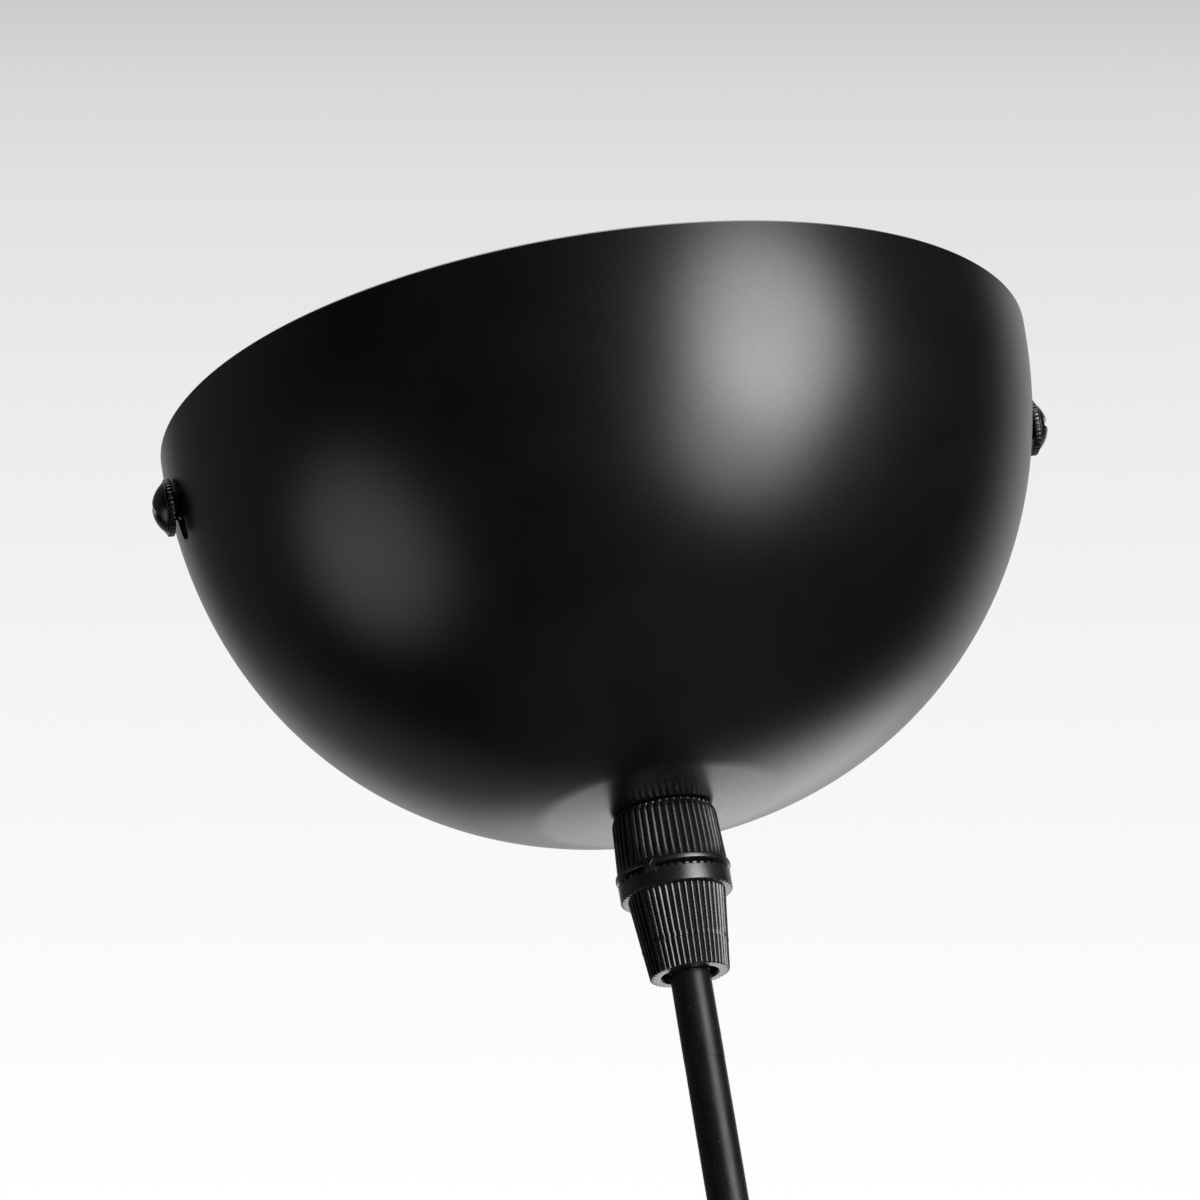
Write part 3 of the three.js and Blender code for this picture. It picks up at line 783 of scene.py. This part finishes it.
def grip_body():
    """The M10 stem, a ribbed barrel with a rounded shoulder, its lip, and the neck inside the cap."""
    lip_top = BODY_BOTTOM + 0.7
    shoulder = [(6.35, -0.1), (6.75, -0.3), (7.0, -0.8)]
    barrel = rows_between((7.12, -1.3), (BARREL_BOTTOM_RADIUS, lip_top - 0.05), 6)
    lip = [(7.72, lip_top + 0.1), (7.8, lip_top - 0.1), (7.8, BODY_BOTTOM + 0.12), (7.68, BODY_BOTTOM)]
    neck = [(5.6, BODY_BOTTOM), (5.6, GRIP_NECK_END)]
    pocket = [(4.4, GRIP_NECK_END), (4.4, BODY_BOTTOM - 1.1), (CORD_RADIUS + 0.3, BODY_BOTTOM - 0.2)]
    stem_rows = rows_between((STEM_RADIUS, STEM_TOP), (STEM_RADIUS, -0.1), 60)
    profile = [*stem_rows, *shoulder, *barrel, *lip, *neck, *pocket, (CORD_RADIUS + 0.3, STEM_TOP)]
    ribbing = ribs(lip_top - 0.05, -0.3)
    winding = thread(STEM_RADIUS, 1.0, 0.45, 0.2, STEM_TOP)

    def surface(angle, out, z):
        if z > 0:
            return winding(angle, out, z)
        return ribbing(angle, out, z)

    return lathe(profile, RIBS * 12, edge=0.06, ripple=surface)


def lock_tab():
    """The small moulded latch across the joint, with two crossed ribs on its face."""
    centre = BODY_BOTTOM - 0.2
    plate = slab((0.42, 1.7, 2.1), (7.98, 0, centre))
    root = slab((0.9, 1.7, 0.7), (7.7, 0, BODY_BOTTOM + 0.35))
    cross = [turned(slab((0.16, 0.3, 1.9)), "X", tilt) for tilt in (38, -38)]
    marks = [moved(rib, 8.22, 0, centre) for rib in cross]
    tab = combined(plate, [root, *marks], operation="UNION", bevel=0.1, bevel_angle=40)
    return turned(tab, "Z", -123.5)


def grip_cap():
    """A collar notched along its top, over a ribbed cone with a flat end face round the bore."""
    notch_bottom = COLLAR_TOP - 0.45
    collar = [(5.95, COLLAR_TOP), (COLLAR_RADIUS - 0.15, COLLAR_TOP), (COLLAR_RADIUS, COLLAR_TOP - 0.14),
              *rows_between((COLLAR_RADIUS, COLLAR_TOP - 0.25), (COLLAR_RADIUS, notch_bottom - 0.1), 4),
              (COLLAR_RADIUS, COLLAR_BOTTOM + 0.1), (COLLAR_RADIUS - 0.1, COLLAR_BOTTOM)]
    cone = rows_between((6.62, COLLAR_BOTTOM), (5.42, GRIP_END + 0.1), 8)
    face = [(5.32, GRIP_END), (CAP_BORE + 0.2, GRIP_END), (CAP_BORE, GRIP_END + 0.25)]
    bore = [(3.72, GRIP_END + 1.4), (5.0, GRIP_END + 3.6), (5.9, GRIP_END + 3.9)]
    profile = [*collar, *cone, *face, *bore]
    ribbing = ribs(GRIP_END - 0.2, COLLAR_BOTTOM + 0.1, 0.12)

    def surface(angle, out, z):
        if z < notch_bottom or out < 7:
            return ribbing(angle, out, z)
        return out - 0.35 * max(0.0, math.cos(angle * RIBS)) * min(1, (z - notch_bottom) / 0.12)

    return lathe(profile, RIBS * 12, edge=0.05, ripple=surface)


def grip_collet():
    """A sleeve slit into fingers that close on the cord."""
    fingers = 6
    end = GRIP_NECK_END
    sleeve = lathe([
        (CORD_RADIUS + 0.2, end + 6.3), (4.1, end + 6.3), (4.1, end - 0.3), (5.1, end - 0.3),
        (5.1, end - 1.5), (3.42, end - 4.1), (3.42, end - 4.9), (CORD_RADIUS + 0.12, end - 4.9),
    ], edge=0.12)
    cuts = []
    for finger in range(fingers):
        cut = slab((4, 0.5, 9), (4.4, 0, end - 2))
        cuts.append(turned(cut, "Z", 360 * finger / fingers + 12))
    return combined(sleeve, cuts)


def add_grip():
    place = (0, 0, POLE_Z)
    make_piece("gland_body", grip_body(), "black_plastic", "canopy", "grip_body", place=place)
    make_piece("gland_latch", lock_tab(), "black_plastic", "canopy", place=place)
    make_piece("gland_cap", grip_cap(), "black_plastic", "cap", "grip_cap", place=place)
    make_piece("gland_collet", grip_collet(), "black_plastic", "collet", "grip_collet", place=place)


# ---------- Cord ----------


def cord_swell(angle, travel):
    """The faint twist that the two cores leave in the sheath."""
    return 1 + 0.006 * math.cos(2 * angle - travel * 0.13)


def straight(top, bottom, step):
    count = max(2, round((top - bottom) / step))
    return [Vector((0, 0, top + (bottom - top) * index / count)) for index in range(count + 1)]


def add_cord():
    """The cord below the grip: first its neck, then the rest of the drop."""
    neck_route = straight(GRIP_EXIT_Z + 0.1, NECK_END_Z - 0.15, 0.75)
    neck = make_piece("cord_root", tube(neck_route, CORD_RADIUS, 40, cord_swell, edge=0.02),
                      "cord_sheath", None, "cord_neck")
    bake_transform(neck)
    bottom = low("cord").z
    run_route = straight(NECK_END_Z - 0.16, bottom, 1.0)
    run = make_piece("cord_run", tube(run_route, CORD_RADIUS, 40, cord_swell, edge=0.02),
                     "cord_sheath", None, "cord")
    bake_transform(run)
    tail_route = straight(SHEATH_END_Z, GRIP_EXIT_Z + 0.25, 1.5)
    make_piece("cord_end", tube(tail_route, CORD_RADIUS, 40, cord_swell), "cord_sheath", "canopy",
               "cord_tail")


# ---------- Small hardware ----------


def slotted_screw(radius, length, head_radius, head_height, pitch=0.6):
    """A slotted screw up the Z axis, its tip at zero and its head on top."""
    rows = max(24, round(length / pitch * 8))
    winding = thread(radius, pitch, pitch * 0.5, 0, length)
    worm = threaded_rod(radius, radius * 0.7, 0, 0.3, length, rows, 32, winding)
    top = length + head_height
    head = rod(head_radius, length - 0.05, top, edge=head_height * 0.3)
    slot = slab((head_radius * 3, head_radius * 0.3, head_height), (0, 0, top))
    return stacked(worm, combined(head, [slot], bevel=0.05, bevel_angle=45))


LUG_SHEET = 0.8
LUG_BARREL = (1.7, 1.3)


def ring_lug():
    """A ring terminal, its crimped barrel towards -Y and just below the ring."""
    eye = ring(4, 2.2, -LUG_SHEET, 0, edge=0.08)
    tongue = slab((3, 4.1, LUG_SHEET), (0, -5.15, -LUG_SHEET / 2))
    barrel = moved(turned(ring(*LUG_BARREL, 6, 12, edge=0.08), "X", 90), z=-1.9)
    crimp = slab((1.6, 1.4, 1), (0, -9, -3.9))
    return combined(combined(eye, [tongue, barrel], operation="UNION"), [crimp], bevel=0.06)


# ---------- Bracket, terminal block and earth point ----------

PLATE = 2
EAR_X = high("ceiling_bracket").x
EAR_BOTTOM = low("ceiling_bracket").z
EAR_SHOULDER = -5
EAR_WIDTH = 14
BRACKET_WIDTH = 20
CEILING_SLOT_X = 36
BLOCK_SCREW_X = WAY_PITCH / 2
BLOCK_TOP = high("terminal_block").z
BLOCK_BOTTOM = low("terminal_block").z
TERMINAL_SCREW_Y = 4.5


def bracket():
    """A U of steel strip with two ceiling slots and narrowed ears, tapped for the side screws."""
    bend = 3
    left, right = (-EAR_X + bend, -bend), (EAR_X - bend, -bend)
    outer = arc(left, bend, 180, 90) + arc(right, bend, 90, 0)
    inner = arc(right, bend - PLATE, 0, 90) + arc(left, bend - PLATE, 90, 180)
    outline = [(-EAR_X, EAR_BOTTOM), *outer, (EAR_X, EAR_BOTTOM)]
    outline += [(EAR_X - PLATE, EAR_BOTTOM), *inner, (-EAR_X + PLATE, EAR_BOTTOM)]
    strip = turned(prism(outline, BRACKET_WIDTH), "X", 90)
    cutters = []
    for end in (-1, 1):
        cutters.append(moved(prism(slot_outline(16, 2.5), 10), end * CEILING_SLOT_X))
        cutters.append(moved(turned(rod(2.1, -8, 8, edge=0), "Y", 90), end * EAR_X, 0, SIDE_SCREW_Z))
        cutters.append(rod_at(1.5, end * BLOCK_SCREW_X, 0, -4, -0.8))
        for edge in (-1, 1):
            beside = (end * EAR_X, edge * (EAR_WIDTH / 2 + 3), EAR_SHOULDER - 20)
            cutters.append(slab((10, 6, 40), beside))
    cutters.append(rod_at(2.1, EARTH_X, 0, -4, -0.3))
    return combined(strip, cutters, bevel=0.22, bevel_angle=50)


def terminal_block():
    """Three moulded barrels side by side, each with two screw chimneys, joined by a thin web."""
    web = slab((30, 11, BLOCK_TOP - TUBE_Z), (0, 0, (BLOCK_TOP + TUBE_Z) / 2))
    half = 4.5
    outline = [(-half, BLOCK_TOP), *arc((0, TUBE_Z), half, 180, 360, 24), (half, BLOCK_TOP)]
    added, cutters = [], []
    for way in (-1, 0, 1):
        x = way * WAY_PITCH
        added.append(moved(turned(prism(outline, 17), "X", 90), x))
        cutters.append(moved(turned(rod(2.8, -12, 12, edge=0), "X", 90), x, 0, TUBE_Z))
        for end in (-1, 1):
            y = end * TERMINAL_SCREW_Y
            added.append(rod_at(3.2, x, y, BLOCK_BOTTOM, TUBE_Z - 1))
            cutters.append(rod_at(1.7, x, y, BLOCK_BOTTOM - 2, TUBE_Z))
    for side in (-1, 1):
        cutters.append(rod_at(1.6, side * BLOCK_SCREW_X, 0, BLOCK_BOTTOM, 0))
        added.append(rod_at(2.6, side * BLOCK_SCREW_X, 0, BLOCK_BOTTOM, TUBE_Z))
    whole = combined(web, added, operation="UNION")
    return combined(whole, cutters, bevel=0.2, bevel_angle=50)


def terminal_tube():
    barrel = turned(ring(2.5, 1.7, -8, 8), "X", 90)
    holes = [rod_at(1.5, 0, end * TERMINAL_SCREW_Y, -4, 0) for end in (-1, 1)]
    return combined(barrel, holes, bevel=0.08, bevel_angle=50)


def spring_washer(outer, inner, bottom, top, teeth):
    return ring(outer, inner, bottom, top, 0.1, teeth * 8, toothed(teeth, 0.16, 3, inner + 0.4))


def add_bracket():
    body = "bracket"
    make_piece("mounting_strap", bracket(), "zinc_steel", body, "ceiling_bracket")
    make_piece("connector_block", terminal_block(), "nylon", body, "terminal_block")
    down = Matrix.Rotation(math.pi, 3, "X")
    for way in range(3):
        x = (way - 1) * WAY_PITCH
        make_piece(f"connector_tube_{way + 1}", terminal_tube(), "brass", body,
                   f"terminal_tube_{way + 1}", place=(x, 0, TUBE_Z))
        for end, y in ((1, -TERMINAL_SCREW_Y), (2, TERMINAL_SCREW_Y)):
            number = 2 * way + end
            node = f"terminal_screw_{number}"
            screw = slotted_screw(1.25, 4, 1.25, 1.2, 0.5)
            make_piece(f"clamp_screw_{number}", screw, "zinc_steel", body, node,
                       turn=down, place=(x, y, high(node).z))
    for number, x in ((1, -BLOCK_SCREW_X), (2, BLOCK_SCREW_X)):
        node = f"block_screw_{number}"
        make_piece(f"block_fixing_{number}", slotted_screw(1.3, 15, 2.3, 1.6, 0.7), "zinc_steel", body,
                   node, turn=down, place=(x, 0, high(node).z))


def add_earth_point():
    body = "bracket"
    down = Matrix.Rotation(math.pi, 3, "X")
    about = Matrix.Rotation(math.pi, 3, "Z")
    washer = spring_washer(3.5, 2.2, low("earth_washer").z, high("earth_washer").z, 12)
    screw = slotted_screw(1.9, 4.3, 3.4, 2.2, 0.7)
    pieces = (
        ("jumper_terminal", ring_lug(), "brass", "earth_jumper_lug", None, high("earth_jumper_lug").z),
        ("cup_wire_terminal", ring_lug(), "brass", "earth_cup_lug", about, high("earth_cup_lug").z),
        ("earth_spring_washer", washer, "zinc_steel", "earth_washer", None, 0),
        ("earth_fixing", screw, "brass", "earth_screw", down, high("earth_screw").z),
    )
    for name, mesh, slot, node, turn, z in pieces:
        make_piece(name, mesh, slot, body, node, turn=turn, place=(EARTH_X, 0, z))


# ---------- Inside the cup ----------

CUP_LUG_X = 10.3
NUT_BORE = 5.45


def cup_lug():
    """A large ring terminal round the stem, its barrel turned up beside it."""
    bottom = CUP_WALL + 0.2
    flat = ring(7.4, CUP_HOLE_RADIUS, bottom, bottom + LUG_SHEET, edge=0.08)
    tongue = slab((2.6, 3, LUG_SHEET), (7.7, 0, bottom + LUG_SHEET / 2))
    riser = slab((0.7, 3, 4.5), (8.65, 0, bottom + 2.25))
    barrel = moved(ring(*LUG_BARREL, bottom + 1.1, bottom + 8, edge=0.08), CUP_LUG_X)
    return combined(flat, [tongue, riser, barrel], operation="UNION", bevel=0.06, bevel_angle=60)


def lock_nut():
    """A hexagon with chamfered corners, bored and tapped."""
    bottom, top, across = 2.9, 5.9, 14
    chamfer = 0.5
    corner = across / math.sqrt(3)
    hexagon = prism(arc((0, 0), corner, 30, 330, 5), top - bottom, (top + bottom) / 2)
    blank = lathe([(0, bottom), (across / 2, bottom), (corner + 0.05, bottom + chamfer),
                   (corner + 0.05, top - chamfer), (across / 2, top), (0, top)], edge=0)
    nut = combined(hexagon, [blank], operation="INTERSECT")
    start, end = bottom - 1, top + 1
    walls = rows_between((NUT_BORE, start), (NUT_BORE, end), 40)
    tapping = thread(NUT_BORE, 1, 0.35, start, end)
    bore = lathe([(0, start), *walls, (0, end)], 64, edge=0, ripple=tapping)
    return combined(nut, [bore])


WIRE_ROUTES = {
    "live_wire": ("wire_live", "brown_core", (
        (-1.3, 0, SHEATH_END_Z + 0.3), (-1.7, -0.6, -43.5), (-5, -5, -34.5), (-9.5, -12, -25),
        (-11, -17, -15), (-10.3, -15.5, -10), (-WAY_PITCH, -11.5, TUBE_Z), (-WAY_PITCH, -6.6, TUBE_Z))),
    "neutral_wire": ("wire_neutral", "blue_core", (
        (1.3, 0, SHEATH_END_Z + 0.3), (1.7, -0.6, -43.5), (3, -7, -34.5), (2, -14, -25),
        (0.5, -17.5, -15), (0, -15.5, -10), (0, -11.5, TUBE_Z), (0, -6.6, TUBE_Z))),
    "cup_earth_wire": ("canopy_earth_wire", "earth_core", (
        (CUP_LUG_X, 0, POLE_Z + 5), (CUP_LUG_X, 0, POLE_Z + 8.5), (10.4, 1, -49.5), (12.5, 9, -40),
        (17, 17, -28), (20, 18, -12), (EARTH_X, 13, -5.4), (EARTH_X, 8, -4.9))),
}
JUMPER_ROUTE = (
    (EARTH_X, -8, -4), (EARTH_X, -12.5, -4.2), (18.5, -17.5, -6), (13, -17.5, -8.2),
    (WAY_PITCH, -13, TUBE_Z), (WAY_PITCH, -6.6, TUBE_Z),
)


def add_inner_parts():
    place = (0, 0, POLE_Z)
    make_piece("cup_earth_terminal", cup_lug(), "brass", "canopy", "canopy_earth_lug", place=place)
    washer = spring_washer(7.1, CUP_HOLE_RADIUS, 2.2, 2.8, 24)
    make_piece("gland_lock_washer", washer, "zinc_steel", "canopy", "lock_washer", place=place)
    make_piece("gland_lock_nut", lock_nut(), "zinc_steel", "canopy", "lock_nut", place=place)


def add_wires():
    """Insulated cores between the bracket and the cup; the three that run to the cup are left on no
    body.
    """
    for name, (node, slot, points) in WIRE_ROUTES.items():
        wire = make_piece(name, tube(smooth_route(points, 0.8), CORE_RADIUS), slot, None, node)
        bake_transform(wire)
    make_piece("jumper_wire", tube(smooth_route(JUMPER_ROUTE, 0.8), CORE_RADIUS), "earth_core",
               "bracket", "earth_jumper")


# ---------- Lampholder ----------

SKIRT_BOTTOM = -34.0
MOUTH = -65.0
CORE_TOP = -29.0
CORE_BOTTOM = -41.0
HOLDER_TERMINAL_X = 7


def flipped(mesh):
    """A cord grip part, upside down on the lampholder."""
    return moved(turned(mesh, "X", 180), z=GRIP_END)


def fluted(count, depth, inner, bottom, top):
    """ripple for a lathe: shallow round flutes on what lies outside the inner radius."""

    def cut(angle, z):
        return depth * (0.5 + 0.5 * math.cos(angle * count))

    return rippled(inner, bottom, top, 0.8, cut)


def holder_cap():
    """The domed top half, with the neck for its cord grip and fine flutes round its skirt."""
    dome = smooth_profile([(8.5, -14.2), (13.5, -16.6), (17.4, -20.6), (19.6, -26.2)])
    skirt = rows_between((19.6, -27.4), (19.6, SKIRT_BOTTOM), 12)
    inside = smooth_profile([(17.7, -26.7), (15.8, -21.8), (12.2, -18.4), (8, -16.4)])
    neck = [(4.4, -5.9), (5.6, -5.9), (5.6, -13.6), (6.2, -14.2)]
    pocket = [(3.05, -16.2), (3.05, -13.8), (4.4, -12.9)]
    profile = [*neck, *dome, *skirt, (17.7, SKIRT_BOTTOM), *inside, *pocket]
    return lathe(profile, 480, edge=0.2, ripple=fluted(60, 0.3, 19, SKIRT_BOTTOM + 0.5, -26.8))


def holder_barrel():
    """The lower half: a flange for the shade, a coarse outer thread and a rounded mouth."""
    rows = rows_between((19, MOUTH + 0.6), (19, -37), 150)
    profile = [(15.2, MOUTH + 0.3), (15.7, MOUTH), (18.4, MOUTH), *rows, (21.2, -37), (21.5, -36.6),
               (21.5, -34.7), (21.2, -34.3), (17.4, -34.3), (17.4, CORE_TOP), (15.2, CORE_TOP)]
    return lathe(profile, 128, edge=0.1, ripple=thread(19, 2.5, 0.6, MOUTH + 1, -38.5))


def shade_ring():
    """A threaded ring: a thin flange that bears on the shade, over a fluted hand grip."""
    grip_rows = rows_between((21.2, -50.9), (21.2, -55.7), 10)
    profile = [(19.3, -49), (22.2, -49), (22.5, -49.3), (22.5, -50.5), (22.2, -50.8), *grip_rows,
               (20.9, -56), (19.3, -56)]
    return lathe(profile, 480, edge=0.1, ripple=fluted(48, 0.5, 20.5, -55.9, -50.85))


def holder_core():
    """The glazed ceramic disc that carries both contacts, with a pocket for each wire's screw."""
    cutters = []
    for side in (-1, 1):
        cutters.append(rod_at(3.2, side * HOLDER_TERMINAL_X, 0, CORE_TOP - 2, CORE_TOP + 1))
        cutters.append(rod_at(1.7, side * HOLDER_TERMINAL_X, 0, CORE_TOP - 8, CORE_TOP))
    disc = rod(14.8, CORE_BOTTOM, CORE_TOP, edge=0.5, segments=96)
    return combined(disc, cutters, bevel=0.2, bevel_angle=60)


def screw_shell():
    """The rolled E27 shell: thin brass whose thread shows inside and out."""
    pitch = 3.629
    top, bottom, wall = -41.2, -62.7, 0.7
    outside = rows_between((14.2, top - 1), (14.2, bottom), 90)
    inside = rows_between((13.6, bottom), (13.6, top - wall - 0.6), 90)

    def rolled(angle, out, z):
        if out < 13 or z > top - 1.8:
            return out
        fade = min(1, (top - 1.8 - z) / 2)
        return out + 0.5 * fade * math.sin(math.tau * z / pitch - angle)

    profile = [(5.5, top - wall), (5.5, top), (13.4, top), (14.0, top - 0.3), *outside, *inside,
               (13.0, top - wall)]
    return lathe(profile, 144, edge=0, ripple=rolled)


def centre_contact():
    """A bent brass spring that presses on the lamp's tip."""
    outline = [(-4.5, -41.2), (4, -41.2), (4, -41.8), (-3.4, -41.8), (4.2, -45.8), (3.8, -46.4),
               (-4.5, -42)]
    return combined(turned(prism(outline, 5), "X", 90), bevel=0.15, bevel_angle=20)


def add_lampholder():
    body = "pendulum"
    place = (0, 0, HOLDER_TOP_Z)
    pieces = (
        ("socket_gland_cap", flipped(grip_cap()), "black_plastic", "holder_grip_cap"),
        ("socket_gland_collet", flipped(grip_collet()), "black_plastic", "holder_collet"),
        ("socket_cap", holder_cap(), "black_plastic", "holder_cap"),
        ("socket_barrel", holder_barrel(), "black_plastic", "holder_barrel"),
        ("socket_core", holder_core(), "porcelain", "holder_core"),
        ("socket_shell", screw_shell(), "brass", "screw_shell"),
        ("socket_contact", centre_contact(), "brass", "centre_contact"),
    )
    for name, mesh, slot, node in pieces:
        make_piece(name, mesh, slot, body, node, place=place)
    make_piece("shade_clamp_ring", shade_ring(), "black_plastic", "ring", "shade_ring", place=place)
    for number, side, slot in ((1, -1, "brown_core"), (2, 1, "blue_core")):
        x = side * HOLDER_TERMINAL_X
        node = f"holder_terminal_{number}"
        make_piece(f"socket_terminal_{number}", slotted_screw(1.3, 5, 2.6, 1.5), "brass", body, node,
                   place=(x, 0, low(node).z))
        route = [(side * 1.3, 0, -17.3), (side * 2, 0, -20), (side * 6, 0, -24), (x, 0, -28.6)]
        make_piece(f"socket_wire_{number}", tube(smooth_route(route, 0.6), CORE_RADIUS), slot, body,
                   f"holder_wire_{number}", place=place)


# ---------- Stage and light ----------


FLOOR_Z = -2.3
FLOOR_RADIUS = 9
FLOOR_SOLID_RADIUS = 1.0


def pale_floor():
    """Pale grey that thins out towards the floor's edge, so that it has no horizon."""
    material = new_material("pale_floor", (0.8, 0.8, 0.8), 0.7)
    vary_color(material, noise(material, 400), (0.78, 0.78, 0.78), (0.82, 0.82, 0.82))
    place = add_node(material, "ShaderNodeTexCoord")
    distance = add_node(material, "ShaderNodeVectorMath", operation="LENGTH")
    link(material, place.outputs["Object"], distance.inputs[0])
    cover = remap(material, distance.outputs["Value"], 1, 0, FLOOR_SOLID_RADIUS, FLOOR_RADIUS)
    link(material, cover, shader_of(material).inputs["Alpha"])
    return material


def add_floor():
    mesh = bmesh.new()
    bmesh.ops.create_circle(mesh, cap_ends=True, segments=96, radius=FLOOR_RADIUS)
    data = mesh_data("floor", mesh)
    data.materials.append(pale_floor())
    floor = linked("floor", data)
    floor.location = (0, 0, FLOOR_Z)
    floor.visible_diffuse = False
    floor.visible_glossy = False
    floor.visible_shadow = False


# Broad soft lights: azimuth from +X, elevation and half-angle in degrees, and strength.
SOFT_LIGHTS = {
    "key, upper half": (-54, 0, 28, 10.2),
    "key, lower half": (-60, -22, 25, 5.0),
    "left": (179, -25, 26, 1.35),
    "behind": (70, 10, 47, 0.68),
    "behind, low": (71, -20, 24, 1.6),
    "behind left, low": (102, -20, 32, 0.2),
    "behind left, high": (138, 27, 54, 0.11),
    "below": (60, -83, 42, 0.11),
    "top": (60, 80, 40, 2.8),
}
LIGHT_COLOR = (0.985, 0.975, 1.0, 1)

# Brightness of the backdrop against height, from the bottom of the view to far above its top.
BACKDROP_STOPS = (
    (0.0, 1.0), (0.085, 0.965), (0.17, 0.93), (0.25, 0.89), (0.335, 0.835), (0.42, 0.76), (0.47, 0.68),
    (0.5, 0.60), (0.54, 0.56), (0.7, 0.56), (1.0, 0.62),
)


def direction_along(world, direction, axis):
    """How far a direction points along a fixed axis, from -1 to 1."""
    node = add_node(world, "ShaderNodeVectorMath", operation="DOT_PRODUCT")
    link(world, direction, node.inputs[0])
    node.inputs[1].default_value = axis
    return node.outputs["Value"]


def backdrop_color(world, direction):
    """White at the bottom of the view and grey at its top."""
    up = camera_axes()[1]
    half_view = math.sin(math.atan(18 / CAMERA_LENS))
    middle = -AIM_DOWN * MM / CAMERA_DISTANCE
    rise = direction_along(world, direction, up)
    fade = remap(world, rise, 0, 1, middle - half_view, middle + 3 * half_view)
    ramp = add_node(world, "ShaderNodeValToRGB")
    stops = ramp.color_ramp.elements
    stops.remove(stops[0])
    for index, (position, level) in enumerate(BACKDROP_STOPS):
        stop = stops.new(position) if index else stops[0]
        stop.position = position
        stop.color = (level, level, level, 1)
    link(world, fade, ramp.inputs["Fac"])
    return ramp.outputs["Color"]


def light_strength(world, direction):
    """The sum of the soft lights that a direction points at."""
    total = None
    for azimuth, elevation, half_angle, strength in SOFT_LIGHTS.values():
        around = math.radians(azimuth)
        above = math.radians(elevation)
        level = math.cos(above)
        toward = (math.cos(around) * level, math.sin(around) * level, math.sin(above))
        facing = direction_along(world, direction, toward)
        edge = math.cos(math.radians(half_angle))
        glow = remap(world, facing, 0, strength, edge, 1, "SMOOTHSTEP")
        if total is None:
            total = glow
            continue
        both = add_node(world, "ShaderNodeMath", operation="ADD")
        link(world, total, both.inputs[0])
        link(world, glow, both.inputs[1])
        total = both.outputs["Value"]
    return total


def add_world():
    """A pale backdrop for the camera, and a dark studio with soft lights for the object."""
    world = bpy.data.worlds.new("studio")
    world.use_nodes = True
    bpy.context.scene.world = world
    seen = world.node_tree.nodes["Background"]
    direction = add_node(world, "ShaderNodeTexCoord").outputs["Generated"]
    link(world, backdrop_color(world, direction), seen.inputs["Color"])
    lit = add_node(world, "ShaderNodeBackground", Color=LIGHT_COLOR)
    link(world, light_strength(world, direction), lit.inputs["Strength"])
    path = add_node(world, "ShaderNodeLightPath")
    mix = add_node(world, "ShaderNodeMixShader")
    link(world, path.outputs["Is Camera Ray"], mix.inputs["Fac"])
    link(world, lit.outputs["Background"], mix.inputs[1])
    link(world, seen.outputs["Background"], mix.inputs[2])
    link(world, mix.outputs["Shader"], world.node_tree.nodes["World Output"].inputs["Surface"])


add_camera()
add_cord()
make_piece("canopy_shell", cup(), "powder_coat", "canopy", "canopy_cup")
add_side_screws()
add_grip()
add_bracket()
add_earth_point()
add_inner_parts()
add_wires()
add_lampholder()
add_floor()
add_world()
bpy.context.scene.view_settings.view_transform = "Standard"
